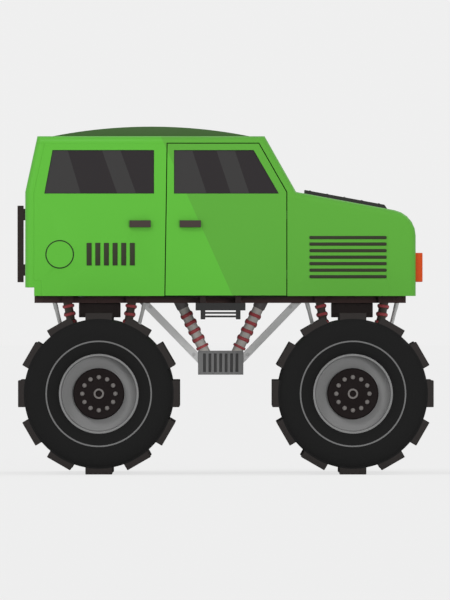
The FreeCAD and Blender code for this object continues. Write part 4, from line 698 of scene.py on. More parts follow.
def bolt_mesh(radius, height, finish):
    """A hexagon head on a washer, seated at height 0."""
    form = bmesh.new()
    for sides, reach, low, high in ((16, radius * 1.3, 0.0, height * 0.25), (6, radius, height * 0.25, height)):
        bmesh.ops.create_cone(form, cap_ends=True, segments=sides, radius1=reach, radius2=reach * 0.94,
                              depth=high - low, matrix=Matrix.Translation((0, 0, (low + high) / 2)))
    mesh = bpy.data.meshes.new("bolt")
    form.to_mesh(mesh)
    form.free()
    mesh.materials.append(finish)
    return mesh


def bolts(name, places, rotation, radius, height, finish, body, move=Matrix.Identity(4)):
    """Bolts at these places, turned by the same angles from +Z."""
    return gathered(name, [(spread(bolt_mesh(radius, height, finish), places, rotation), move)], body)


plate_paint = finish_of("plate_paint", srgb(48, 46, 46), 0.6, wear=0.05)
refined("bonnet_plate", plate_paint, edge=0.004)
SLOPE = radians(10.5)
COWL_X, COWL_Z = 0.733, 2.940
PLATE_THICKNESS = 0.039


def plate_point(x, y):
    """A point on top of the plate."""
    return (x, y, COWL_Z - (x - COWL_X) * tan(SLOPE) + PLATE_THICKNESS / cos(SLOPE) - 0.0005)


bolts("bonnet_plate_bolts", [plate_point(0.88 + n * 0.18, side * 0.38) for n in range(5) for side in (-1, 1)],
      (0, SLOPE, 0), 0.010, 0.005, plate_paint, "bonnet")
ladder_paint = finish_of("ladder_paint", srgb(54, 39, 43), 0.6, wear=0.05)
refined("rear_ladder", ladder_paint, edge=0.006)
LADDER_FEET = (2.066, 2.647)     # bottom of each pair of feet
ladder_bolts = [(-2.1075, side * 0.2115, z + step) for side in (-1, 1) for z in LADDER_FEET for step in (0.03, 0.09)]
for side, turn in ((-1, pi / 2), (1, -pi / 2)):
    name = "ladder_bolts_right" if side < 0 else "ladder_bolts_left"
    bolts(name, [place for place in ladder_bolts if place[1] * side > 0], (turn, 0, 0), 0.009, 0.007, ladder_paint,
          "rear_door")

# ------------------------------------------------------------------ ladder frame
# Welded box rails and cross members in black chassis paint, rivetted where they meet, and the bump-stop
# boxes over the axles with their bolted side plates. The members are painted a little darker than the
# rails, and darker still on the arms that carry the steps: painted shade where the light reaches them more.
# Painted shade on the step arms begins this far from the centre plane.
OUTRIGGER_SHADE_START = 0.560      # the step arms' darker paint begins this far from the centre plane
chassis_paint = finish_of("chassis_paint", srgb(70, 54, 52), 0.6, wear=0.06)
# The members' copy of the chassis paint is darker than the rails': painted shade, as the light reaches them more.
member_paint_and_shade = finish_of("member_paint_and_shade", srgb(61, 46, 44), 0.6, wear=0.06)
tree = member_paint_and_shade.node_tree
place, parts = object_place(tree)
# Painted shade: the step arms, fully lit, take a darker colour.
outrigger_shade = value_node(tree, "GREATER_THAN", value_node(tree, "ABSOLUTE", parts[1]), OUTRIGGER_SHADE_START)
painted = tree.nodes["Principled BSDF"].inputs["Base Color"]
tree.links.new(blend_colours(tree, outrigger_shade, painted.links[0].from_socket, srgb(40, 30, 29)), painted)
refined("frame_rails", chassis_paint, edge=0.004)
refined("cross_members", member_paint_and_shade, edge=0.004)
cradle_paint = finish_of("cradle_paint", srgb(42, 36, 35), 0.6, wear=0.06)
refined("axle_cradles", cradle_paint, edge=0.006)
AXLE_X = 1.32
FRAME_BOTTOM = 1.781
RAIL_OUTER = 0.420
CRADLE_SIDE = 0.300
MEMBER_X = [-1.94, -1.654, -1.32, -0.986, -0.240, 0.129, 0.986, 1.32, 1.654, 1.821]
rivet = lathe_mesh([(0.0, 0.0), (0.0, 0.008), (0.003, 0.007), (0.0045, 0.004), (0.005, 0.0)], chassis_paint, 12)
for side in (-1, 1):
    turn = (-side * pi / 2, 0, 0)
    name = "right" if side < 0 else "left"
    rail_places = [(x + step, side * RAIL_OUTER, z) for x in MEMBER_X for step in (-0.03, 0.03)
                   for z in (FRAME_BOTTOM + 0.018, FRAME_BOTTOM + 0.055)]
    gathered("rail_rivets_" + name, [(spread(rivet, rail_places, turn), Matrix.Identity(4))], "chassis")
    plate_places = [(axle + step, side * CRADLE_SIDE, z) for axle in (-AXLE_X, AXLE_X)
                    for step in (-0.17, -0.057, 0.057, 0.17) for z in (1.655, 1.755)]
    bolts("cradle_bolts_" + name, plate_places, turn, 0.011, 0.009, cradle_paint, "chassis")

# ------------------------------------------------------------------ gearbox and braces
# A cast transfer box with seven cooling slots a side, each lined with a dark grey strip that is painted shade
# in the slot, bolted round its rim, hung below the frame on four flat stays with a pin through each end.
cast_grey = finish_of("cast_grey", srgb(118, 118, 118), 0.6, grain=60.0, wear=0.06, bump=0.0008)
slot_shade_grey = finish_of("slot_shade_grey", srgb(70, 70, 70), 0.7, wear=0.05)
refined("gearbox", cast_grey, edge=0.006)
BOX_REAR, BOX_FRONT = -0.291, 0.183
BOX_BOTTOM, BOX_TOP = 1.031, 1.281
BOX_SIDE = 0.372
SLOT_COUNT, SLOT_PITCH, SLOT_WIDTH, SLOT_MARGIN = 7, 0.0565, 0.028, 0.028
box_middle = (BOX_REAR + BOX_FRONT) / 2
slot_half = (BOX_TOP - BOX_BOTTOM) / 2 - SLOT_MARGIN
# Dark grey liners at the slots' floors: painted shade inside the slots.
slot_shade_liner = block_mesh((-SLOT_WIDTH / 2, -0.002, -slot_half), (SLOT_WIDTH / 2, 0.002, slot_half), slot_shade_grey, 0.0005)
for side, name in ((-1, "right"), (1, "left")):
    turn = (-side * pi / 2, 0, 0)
    slot_places = [(box_middle + (n - (SLOT_COUNT - 1) / 2) * SLOT_PITCH, side * (BOX_SIDE - 0.019), (BOX_BOTTOM + BOX_TOP) / 2)
                   for n in range(SLOT_COUNT)]
    gathered("slot_liners_" + name, [(spread(slot_shade_liner, slot_places), Matrix.Identity(4))], "chassis")
    rim_places = [(x, side * BOX_SIDE, z) for x in (BOX_REAR + 0.016, box_middle - 0.079, box_middle + 0.079, BOX_FRONT - 0.016)
                  for z in (BOX_BOTTOM + 0.014, BOX_TOP - 0.014)]
    bolts("gearbox_bolts_" + name, rim_places, turn, 0.007, 0.006, cast_grey, "chassis")
brace_paint = finish_of("brace_paint", srgb(198, 198, 198), 0.5, wear=0.04)
refined("gearbox_braces", brace_paint, edge=0.004)
BRACE_SIDE = 0.355
# Brace pins: (x, z), close to the frame and close to the box.
BRACE_PINS = [(-0.790, 1.740), (-0.335, 1.243), (0.676, 1.740), (0.227, 1.243)]
pin_paint = finish_of("pin_paint", srgb(178, 178, 178), 0.5, wear=0.05)
for side, name in ((-1, "right"), (1, "left")):
    bolts("brace_pins_" + name, [(x, side * BRACE_SIDE, z) for x, z in BRACE_PINS], (-side * pi / 2, 0, 0),
          0.015, 0.009, pin_paint, "chassis")

# ------------------------------------------------------------------ dampers and springs
# Gas dampers inside red coil springs of flattened wire, wound so that each turn lies level on the
# side that shows: four long grey ones to the transfer box, eight shorter dark ones over the axles.
spring_group, given, result = node_group("coil_spring", [
    ("Radius", "NodeSocketFloat"), ("Turns", "NodeSocketFloat"), ("Length", "NodeSocketFloat"),
    ("Wire", "NodeSocketVector"), ("Finish", "NodeSocketMaterial")])
spiral = group_node(spring_group, "GeometryNodeCurveSpiral", Resolution=32, Rotations=given["Turns"],
                    Start_Radius=given["Radius"], End_Radius=given["Radius"], Height=given["Length"])
levelled = group_node(spring_group, "GeometryNodeSetCurveNormal", Curve=spiral.outputs["Curve"])
levelled.mode = "Z_UP"
wire = group_node(spring_group, "GeometryNodeCurvePrimitiveCircle", Resolution=12, Radius=1.0)
flattened = group_node(spring_group, "GeometryNodeTransform", Geometry=wire.outputs["Curve"], Scale=given["Wire"])
tube = group_node(spring_group, "GeometryNodeCurveToMesh", Curve=levelled.outputs["Curve"],
                  Profile_Curve=flattened.outputs["Geometry"], Fill_Caps=True)
finished(spring_group, tube.outputs["Mesh"], given, result)


def leaning_place(top, foot, outward):
    """The placing that puts a form's +Z along the line from foot to top and its +Y outward."""
    along = (Vector(top) - Vector(foot)).normalized()
    across = outward.cross(along)
    turn = Matrix((across, outward, along)).transposed().to_4x4()
    return Matrix.Translation(foot) @ turn


def cut_level(mesh, place, low, high):
    """The placed mesh, what passes these two heights slid back along its own line to lie level."""
    cut = mesh.copy()
    cut.transform(place)
    along = place.to_3x3() @ Vector((0, 0, 1))
    for vertex in cut.vertices:
        level = min(max(vertex.co.z, low), high)
        vertex.co += along * ((level - vertex.co.z) / along.z)
    return cut


damper_grey = finish_of("damper_grey", srgb(172, 168, 163), 0.5, wear=0.04)
damper_dark = finish_of("damper_dark", srgb(60, 54, 48), 0.5, wear=0.05)
cap_dark = finish_of("cap_dark", srgb(88, 84, 84), 0.5, wear=0.05)
spring_red = finish_of("spring_red", srgb(158, 70, 74), 0.5, wear=0.05)
# Coil-overs: name, finishes of the body, the cap and the lower perch, (top x, foot x) of each, distance
# from the centre plane, foot height, radii of body and cap, cap's length, the coil's radius, wire (radial,
# axial), turns, pitch, its first level turn's place below the top, how much of a turn it starts before
# that, and the lower perch's place below the top (low, high).
COIL_OVERS = [
    ("centre", damper_grey, cap_dark, spring_red, [(-0.472, -0.226), (0.367, 0.121)], 0.330, 1.281,
     0.0545, 0.064, 0.052, 0.0610, (0.0070, 0.0175, 1.0), 4, 0.092, 0.143, 0.5, (0.497, 0.523)),
    ("corner", damper_dark, damper_dark, damper_dark,
     [(axle + side * 0.334, axle + side * 0.184) for axle in (-AXLE_X, AXLE_X) for side in (-1, 1)], 0.470, 0.9,
     0.042, 0.044, 0.012, 0.0510, (0.0085, 0.0150, 1.0), 5, 0.0855, 0.034, 0.25, (0.471, 0.486)),
]
for (name, body_finish, cap_finish, low_finish, lines, distance, foot_z, radius, cap_radius, cap_length, coil_radius,
     wire_size, turns, pitch, first_turn, lead, perch) in COIL_OVERS:
    coil_length = turns * pitch
    coil = made_by(spring_group, {"Radius": coil_radius, "Wire": wire_size, "Turns": float(turns),
                                  "Length": coil_length, "Finish": spring_red})
    slope = -0.85 * pitch / (4 * coil_radius)
    levelling = Matrix(((1, 0, 0, 0), (0, 1, 0, 0), (slope, 0, 1, 0), (0, 0, 0, 1)))
    phase = Matrix.Rotation(pi / 2 - 2 * pi * lead, 4, "Z")
    bodies, caps, lowers, coils = [], [], [], []
    for top_x, foot_x in lines:
        for side in (-1, 1):
            top, foot = Vector((top_x, side * distance, FRAME_BOTTOM)), Vector((foot_x, side * distance, foot_z))
            length = (top - foot).length
            place = leaning_place(top, foot, Vector((0, side, 0)))
            rod_end = length - perch[1] if name == "corner" else 0.0
            body_low = rod_end - 0.05 if rod_end else -0.1
            rod = [(-0.1, 0.0), (-0.1, 0.022), (body_low, 0.022)] if rod_end else [(-0.1, 0.0)]
            bodies.append((cut_level(lathe_mesh(rod + [
                (body_low, radius), (length + 0.1, radius), (length + 0.1, 0.0)], body_finish, 40),
                place, foot_z, FRAME_BOTTOM), Matrix.Identity(4)))
            caps.append((cut_level(lathe_mesh([
                (length - cap_length - 0.012, 0.0), (length - cap_length - 0.012, radius + 0.001),
                (length - cap_length, cap_radius), (length + 0.1, cap_radius), (length + 0.1, 0.0)],
                cap_finish, 40), place, foot_z, FRAME_BOTTOM), Matrix.Identity(4)))
            reach = coil_radius + wire_size[0]
            lowers.append((lathe_mesh([
                (0.0, radius - 0.001), (0.0, reach - 0.003), (0.003, reach), (perch[1] - perch[0] - 0.003, reach),
                (perch[1] - perch[0], reach - 0.003), (perch[1] - perch[0], radius - 0.001)], low_finish, 40,
                closed=True), place @ Matrix.Translation((0, 0, length - perch[1]))))
            start = length - first_turn + lead * pitch - coil_length
            coils.append((coil, place @ Matrix.Translation((0, 0, start)) @ levelling @ phase))
    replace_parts(gathered(name + "_damper_bodies", bodies, "chassis"), name + "_dampers")
    gathered(name + "_damper_caps", caps, "chassis")
    gathered(name + "_lower_perches", lowers, "chassis")
    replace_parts(gathered(name + "_spring_coils", coils, "chassis", 50.0), name + "_springs")

# ------------------------------------------------------------------ axle links and side steps
# Slim turned steel stays between the frame and the axles, and black hanging steps of folded steel
# whose rungs are cross-ribbed for grip.
link_steel = finish_of("link_steel", srgb(185, 186, 185), 0.5, wear=0.05)
LINK_DISTANCE, LINK_TOP, LINK_FOOT, LINK_FOOT_Z, LINK_RADIUS = 0.395, 0.470, 0.245, 0.900, 0.0205
links = []
for axle in (-AXLE_X, AXLE_X):
    for fore in (-1, 1):
        for side in (-1, 1):
            top = Vector((axle + fore * LINK_TOP, side * LINK_DISTANCE, FRAME_BOTTOM))
            foot = Vector((axle + fore * LINK_FOOT, side * LINK_DISTANCE, LINK_FOOT_Z))
            length = (top - foot).length
            links.append((cut_level(lathe_mesh([
                (-0.05, 0.0), (-0.05, LINK_RADIUS), (0.06, LINK_RADIUS), (0.075, LINK_RADIUS - 0.003),
                (length - 0.075, LINK_RADIUS - 0.003), (length - 0.06, LINK_RADIUS), (length + 0.05, LINK_RADIUS),
                (length + 0.05, 0.0)], link_steel, 24), leaning_place(top, foot, Vector((0, side, 0))),
                LINK_FOOT_Z, FRAME_BOTTOM), Matrix.Identity(4)))
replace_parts(gathered("link_bars", links, "chassis"), "axle_links")
step_paint = finish_of("step_paint", srgb(42, 42, 42), 0.6, wear=0.05)
refined("side_steps", step_paint, edge=0.003)

# ------------------------------------------------------------------ axles, knuckles and tie rods
# Cast axle housings with welded round tubes, a bolted differential and forks; forged knuckles on
# kingpins carry the brake drums and spindles, and a round tie rod joins each pair.
WHEEL_Z = 0.838
HALF_TRACK = 1.325
axle_steel = finish_of("axle_steel", srgb(66, 63, 62), 0.5, metallic=0.2, wear=0.08)
drum_iron = finish_of("drum_iron", srgb(58, 52, 50), 0.7, metallic=0.1, grain=30.0, wear=0.12, bump=0.0004)
ring_group, given, result = node_group("ring_of_copies", [
    ("Pattern", "NodeSocketObject"), ("Count", "NodeSocketInt"), ("Finish", "NodeSocketMaterial")])
points = group_node(ring_group, "GeometryNodeMeshLine", Count=given["Count"], Offset=(0, 0, 0))
pattern = group_node(ring_group, "GeometryNodeObjectInfo", Object=given["Pattern"])
number = ring_group.nodes.new("GeometryNodeInputIndex")
turn = group_node(ring_group, "ShaderNodeMath")
turn.operation = "DIVIDE"
ring_group.links.new(number.outputs[0], turn.inputs[0])
ring_group.links.new(given["Count"], turn.inputs[1])
angle = group_node(ring_group, "ShaderNodeMath")
angle.operation = "MULTIPLY"
angle.inputs[1].default_value = 2 * pi
ring_group.links.new(turn.outputs[0], angle.inputs[0])
about_axis = group_node(ring_group, "ShaderNodeCombineXYZ", Z=angle.outputs[0])
copies = group_node(ring_group, "GeometryNodeInstanceOnPoints", Points=points.outputs["Mesh"],
                    Instance=pattern.outputs["Geometry"], Rotation=about_axis.outputs[0])
real = group_node(ring_group, "GeometryNodeRealizeInstances", Geometry=copies.outputs["Instances"])
finished(ring_group, real.outputs["Geometry"], given, result)


def ring_of(mesh, count):
    """Copies of a mesh in a ring about +Z."""
    pattern_object = add_object("pattern", mesh)
    copies = made_by(ring_group, {"Pattern": pattern_object, "Count": count, "Finish": mesh.materials[0]})
    bpy.data.objects.remove(pattern_object)
    return copies


def shifted(mesh, x, y, z):
    copy = mesh.copy()
    copy.transform(Matrix.Translation((x, y, z)))
    return copy


TUBE_RADIUS, TUBE_REACH = 0.0742, 0.560
DIFF_RADIUS, DIFF_HALF_WIDTH, DIFF_END_RADIUS, DIFF_RIM = 0.190, 0.150, 0.114, 0.060
NOSE_RADIUS, NOSE_REACH = 0.095, 0.270
leftward = Matrix.Rotation(-pi / 2, 4, "X")
axle_tube = lathe_mesh([(-TUBE_REACH, 0.0), (-TUBE_REACH, TUBE_RADIUS), (TUBE_REACH, TUBE_RADIUS), (TUBE_REACH, 0.0)],
                       axle_steel, 48)
diff_case = lathe_mesh([
    (-DIFF_HALF_WIDTH, 0.0), (-DIFF_HALF_WIDTH, DIFF_END_RADIUS - 0.006), (-DIFF_HALF_WIDTH + 0.004, DIFF_END_RADIUS),
    (-0.118, 0.148), (-DIFF_RIM - 0.012, 0.183), (-DIFF_RIM, 0.1905), (DIFF_RIM, 0.1905), (DIFF_RIM + 0.012, 0.183),
    (0.118, 0.148), (DIFF_HALF_WIDTH - 0.004, DIFF_END_RADIUS), (DIFF_HALF_WIDTH, DIFF_END_RADIUS - 0.006),
    (DIFF_HALF_WIDTH, 0.0)], axle_steel, 64)
diff_bolts = ring_of(shifted(bolt_mesh(0.009, 0.008, axle_steel), 0.176, 0, DIFF_RIM + 0.010), 12)
nose = lathe_mesh([(0.0, 0.0), (0.0, NOSE_RADIUS), (NOSE_REACH - 0.03, NOSE_RADIUS), (NOSE_REACH - 0.012, 0.082),
                   (NOSE_REACH, 0.074), (NOSE_REACH, 0.0)], axle_steel, 48)
nose_ribs = ring_of(block_mesh((0.07, -0.006, 0.06), (0.118, 0.006, NOSE_REACH - 0.05), axle_steel, 0.002), 6)
DRUM_START, DRUM_WIDTH, DRUM_RADIUS, SPINDLE_RADIUS = 0.880, 0.110, 0.187, 0.0595
drum_profile = [(0.0, 0.0), (0.0, 0.165), (0.006, 0.172), (0.02, 0.172)]
for step in range(5):
    fin = 0.022 + step * 0.013
    drum_profile += [(fin, 0.172), (fin, DRUM_RADIUS), (fin + 0.006, DRUM_RADIUS), (fin + 0.006, 0.172)]
drum_profile += [(0.095, 0.172), (0.099, DRUM_RADIUS), (DRUM_WIDTH, DRUM_RADIUS), (DRUM_WIDTH, 0.0)]
drum = lathe_mesh(drum_profile, drum_iron, 64)
spindle = lathe_mesh([(0.0, 0.0), (0.0, SPINDLE_RADIUS), (0.44, SPINDLE_RADIUS), (0.44, 0.0)], axle_steel, 40)
KINGPIN_DISTANCE, KINGPIN_REACH = 0.700, 0.1785
kingpin = lathe_mesh([(-KINGPIN_REACH, 0.0), (-KINGPIN_REACH, 0.026), (-KINGPIN_REACH + 0.003, 0.0298),
                      (KINGPIN_REACH - 0.003, 0.0298), (KINGPIN_REACH, 0.026), (KINGPIN_REACH, 0.0)], axle_steel, 32)
for end, axle, inwards in (("front", AXLE_X, -1), ("rear", -AXLE_X, 1)):
    centre = Matrix.Translation((axle, 0, WHEEL_Z))
    ahead = Matrix.Rotation(inwards * pi / 2, 4, "Y")
    refined("axle_" + end, axle_steel, edge=0.003)
    refined("tie_rod_" + end, axle_steel, edge=0.002, smooth=50.0)
    gathered("axle_case_" + end, [(axle_tube, centre @ leftward), (diff_case, centre @ leftward), (nose, centre @ ahead),
                                  (nose_ribs, centre @ ahead), (diff_bolts, centre @ leftward)],
             frame["nodes"]["axle_" + end]["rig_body"])
    for side, y in (("right", -1), ("left", 1)):
        node = "knuckle_%s_%s" % (end, side)
        body = frame["nodes"][node]["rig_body"]
        outboard = Matrix.Rotation(-y * pi / 2, 4, "X")
        refined(node, axle_steel, edge=0.003)
        gathered("kingpins_%s_%s" % (end, side), [
            (kingpin, Matrix.Translation((axle, y * KINGPIN_DISTANCE, WHEEL_Z))),
            (spindle, Matrix.Translation((axle, y * KINGPIN_DISTANCE, WHEEL_Z)) @ outboard),
        ], body)
        gathered("brake_drum_%s_%s" % (end, side),
                 [(drum, Matrix.Translation((axle, y * DRUM_START, WHEEL_Z)) @ outboard)], body)

# ------------------------------------------------------------------ tyres
# Balloon tyres: a smooth bulging carcass with twelve straight rubber lugs across its tread, and a
# thin grey rib moulded round each sidewall.
LUG_COUNT = 12
SIDEWALL = [
    (0.450, 0.415), (0.462, 0.419), (0.480, 0.434), (0.503, 0.474), (0.526, 0.534), (0.540, 0.590),
    (0.5445, 0.630), (0.541, 0.676), (0.529, 0.720), (0.508, 0.753), (0.478, 0.770), (0.430, 0.777),
]
tyre_rubber = finish_of("tyre_rubber", srgb(28, 28, 28), 0.9, grain=30.0, wear=0.1, bump=0.0006, specular=0.1)
TREAD_RADIUS = 0.778


def lug_finish():
    """Dusty brown-black rubber on the lugs, and the carcass's black on their feet, inside the tread."""
    material = finish_of("lug_rubber", srgb(48, 45, 44), 0.9, grain=30.0, wear=0.08, bump=0.0006, specular=0.1)
    tree = material.node_tree
    colour = tree.nodes["Principled BSDF"].inputs["Base Color"]
    place, parts = object_place(tree)
    along = value_node(tree, "SUBTRACT", value_node(tree, "ABSOLUTE", parts[0]), AXLE_X)
    above = value_node(tree, "SUBTRACT", parts[2], WHEEL_Z)
    squares = value_node(tree, "MULTIPLY_ADD", along, along, value_node(tree, "MULTIPLY", above, above))
    outside = value_node(tree, "GREATER_THAN", squares, TREAD_RADIUS ** 2)
    tree.links.new(blend_colours(tree, outside, srgb(28, 28, 28), colour.links[0].from_socket), colour)
    return material


lug_rubber = lug_finish()
rib_grey = finish_of("rib_grey", srgb(105, 105, 105), 0.6, wear=0.04)
carcass = lathe_mesh(SIDEWALL + [(-reach, radius) for reach, radius in reversed(SIDEWALL)] +
                     [(-0.30, 0.410), (0.30, 0.410)], tyre_rubber, 144, closed=True)
rib = lathe_mesh([(0.5245, 0.537), (0.5320, 0.5375), (0.5355, 0.545), (0.5360, 0.5525), (0.5285, 0.553)],
                 rib_grey, 144, closed=True)
LUG_HALF_WIDTH, LUG_ROOT, LUG_ROOT_REACH, LUG_TIP, LUG_TIP_REACH = 0.139, 0.725, 0.508, 0.838, 0.475


def lug_mesh():
    """One lug across the tread at the wheel's +Y, its edges slightly rounded."""
    form = bmesh.new()
    rows = [[form.verts.new((x, radius, reach)) for radius, reach in (
        (LUG_ROOT, -LUG_ROOT_REACH), (LUG_ROOT, LUG_ROOT_REACH), (LUG_TIP, LUG_TIP_REACH), (LUG_TIP, -LUG_TIP_REACH))]
        for x in (-LUG_HALF_WIDTH, LUG_HALF_WIDTH)]
    form.faces.new(rows[0])
    form.faces.new(rows[1])
    for n in range(4):
        after = (n + 1) % 4
        form.faces.new((rows[0][n], rows[0][after], rows[1][after], rows[1][n]))
    bmesh.ops.bevel(form, geom=form.edges[:], offset=0.006, segments=2, affect="EDGES", profile=0.5)
    bmesh.ops.recalc_face_normals(form, faces=form.faces)
    mesh = bpy.data.meshes.new("lug")
    form.to_mesh(mesh)
    form.free()
    mesh.materials.append(lug_rubber)
    return mesh


lugs = ring_of(lug_mesh(), LUG_COUNT)
# Wheels: (name of the corner, its CAD body, the placing that puts a form's +Z outboard).
WHEELS = []
for end, axle in (("front", AXLE_X), ("rear", -AXLE_X)):
    for side, y in (("right", -1), ("left", 1)):
        WHEELS.append(("%s_%s" % (end, side), "wheel_%s_%s" % (end, side),
                       Matrix.Translation((axle, y * HALF_TRACK, WHEEL_Z)) @ Matrix.Rotation(-y * pi / 2, 4, "X")))
flip = Matrix.Rotation(pi, 4, "X")
for corner, body, place in WHEELS:
    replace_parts(gathered("tyre_carcass_" + corner, [(carcass, place)], body, 60.0), "tyre_" + corner)
    gathered("tyre_lugs_" + corner, [(lugs, place)], body)
    gathered("tyre_ribs_" + corner, [(rib, place), (rib, place @ flip)], body, 60.0)

# ------------------------------------------------------------------ rims and hubs
# Deep welded steel rims with a rolled lip, painted grey. A dark cast hub cover stands on each disc,
# held by twelve hexagon bolts round a turned centre cap.
rim_grey = finish_of("rim_grey", srgb(129, 129, 129), 0.6, wear=0.03)
hub_dark = finish_of("hub_dark", srgb(27, 22, 22), 0.7, wear=0.05, specular=0.1)
bolt_grey = finish_of("bolt_grey", srgb(110, 106, 104), 0.5, wear=0.05)
rim_shell = lathe_mesh([
    (0.448, 0.4145), (0.450, 0.410), (0.450, 0.398), (0.446, 0.393), (0.360, 0.391), (0.275, 0.389), (0.258, 0.384),
    (0.250, 0.372), (0.250, 0.30), (0.250, 0.20), (0.216, 0.20), (0.216, 0.36), (0.20, 0.376), (-0.30, 0.390),
    (-0.446, 0.393), (-0.450, 0.398), (-0.450, 0.410), (-0.448, 0.4145), (-0.30, 0.4145), (0.30, 0.4145),
], rim_grey, 128, closed=True)
hub_cover = lathe_mesh([
    (0.10, 0.061), (0.10, 0.114), (0.104, 0.12), (0.215, 0.12), (0.215, 0.262), (0.250, 0.266), (0.306, 0.266),
    (0.314, 0.263), (0.320, 0.255), (0.320, 0.226), (0.3175, 0.222), (0.3175, 0.118), (0.320, 0.114), (0.320, 0.0),
    (0.287, 0.0), (0.287, 0.061),
], hub_dark, 96)
cap_ring = lathe_mesh([
    (0.319, 0.034), (0.335, 0.034), (0.338, 0.037), (0.338, 0.051), (0.335, 0.054), (0.319, 0.054),
], bolt_grey, 48, closed=True)
BOLT_COUNT, BOLT_CIRCLE, BOLT_SEAT = 12, 0.172, 0.3175
hub_bolts = ring_of(shifted(bolt_mesh(0.018, 0.020, bolt_grey), 0, BOLT_CIRCLE, BOLT_SEAT), BOLT_COUNT)
for corner, body, place in WHEELS:
    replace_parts(gathered("rim_shell_" + corner, [(rim_shell, place)], body), "rim_" + corner)
    gathered("hub_cover_" + corner, [(hub_cover, place)], body)
    gathered("hub_ring_" + corner, [(cap_ring, place)], body)
    gathered("hub_bolts_" + corner, [(hub_bolts, place)], body)

# ------------------------------------------------------------------ seats
# Two front seats and a rear bench: moulded shells that carry stuffed cushions and backs in grey
# cloth, sewn across in channels. The pads are blown up as cloth, so their sides swell between edges.
seat_cloth = finish_of("seat_cloth", srgb(84, 84, 88), 0.92, grain=160.0, wear=0.1, bump=0.0006)
shell_plastic = finish_of("shell_plastic", srgb(44, 43, 44), 0.6, grain=60.0, wear=0.05)
FLOOR_TOP, SEAT_HEIGHT, SEAT_LENGTH, BACK_THICKNESS, BACK_RAKE, BACK_TOP = 1.904, 0.520, 0.520, 0.150, 0.070, 3.060
PAD_DEPTH = 0.155            # of the sitting cushion
PAD_START = 0.012            # a pad starts this much smaller than its room, and swells to fill it
PAD_SWELL = 0.011            # furthest that a point may move
PAD_VOXEL = 0.012
PAD_FRAMES = 20
CHANNEL_PITCH, CHANNEL_DEPTH, CHANNEL_WIDTH = 0.105, 0.006, 0.009
cushion_top = FLOOR_TOP + SEAT_HEIGHT
back_lean = Matrix.Rotation(-atan2(BACK_RAKE, BACK_TOP - FLOOR_TOP), 4, "Y")


def stuffed(low, high):
    """A pad that fills its room: a box blown up as cloth, then sewn across in channels along +X's ends."""
    size = [end - start for start, end in zip(low, high)]
    start = block_mesh([end + PAD_START for end in low], [end - PAD_START for end in high], seat_cloth, 0.03)
    block = add_object("pad_block", start)
    remesh = block.modifiers.new("remesh", "REMESH")
    remesh.mode = "VOXEL"
    remesh.voxel_size = PAD_VOXEL
    pad = add_object("pad", evaluated_mesh(block))
    still = numpy.empty(len(pad.data.vertices) * 3)
    pad.data.vertices.foreach_get("co", still)
    cloth = pad.modifiers.new("cloth", "CLOTH")
    cloth.settings.use_pressure = True
    cloth.settings.uniform_pressure_force = 4.0
    cloth.settings.effector_weights.gravity = 0.0
    cloth.point_cache.frame_end = PAD_FRAMES
    for number in range(1, PAD_FRAMES + 1):
        bpy.context.scene.frame_set(number)
    swollen = evaluated_mesh(pad)
    moved = numpy.empty(len(swollen.vertices) * 3)
    swollen.vertices.foreach_get("co", moved)
    shift = (moved - still).reshape(-1, 3)
    reach = numpy.linalg.norm(shift, axis=1, keepdims=True)
    shift *= numpy.minimum(1.0, PAD_SWELL / numpy.maximum(reach, 1e-9))
    swollen.vertices.foreach_set("co", (still.reshape(-1, 3) + shift).ravel())
    bpy.context.scene.frame_set(1)
    rounded = add_object("pad_rounded", swollen)
    finer = rounded.modifiers.new("finer", "SUBSURF")
    finer.levels = finer.render_levels = 1
    mesh = evaluated_mesh(rounded)
    for used in (block, pad, rounded):
        bpy.data.objects.remove(used)
    # Channels run across the pad's longer way on its upper face.
    places = numpy.empty(len(mesh.vertices) * 3)
    mesh.vertices.foreach_get("co", places)
    places = places.reshape(-1, 3)
    middle = (low[0] + high[0]) / 2
    count = int(size[0] / CHANNEL_PITCH)
    for number in range(count):
        line = middle + (number - (count - 1) / 2) * CHANNEL_PITCH
        near = numpy.exp(-((places[:, 0] - line) / CHANNEL_WIDTH) ** 2)
        upper = numpy.clip((places[:, 2] - (high[2] - 0.05)) / 0.03, 0.0, 1.0)
        places[:, 2] -= CHANNEL_DEPTH * near * upper
    mesh.vertices.foreach_set("co", places.ravel())
    mesh.materials.clear()
    mesh.materials.append(seat_cloth)
    return mesh


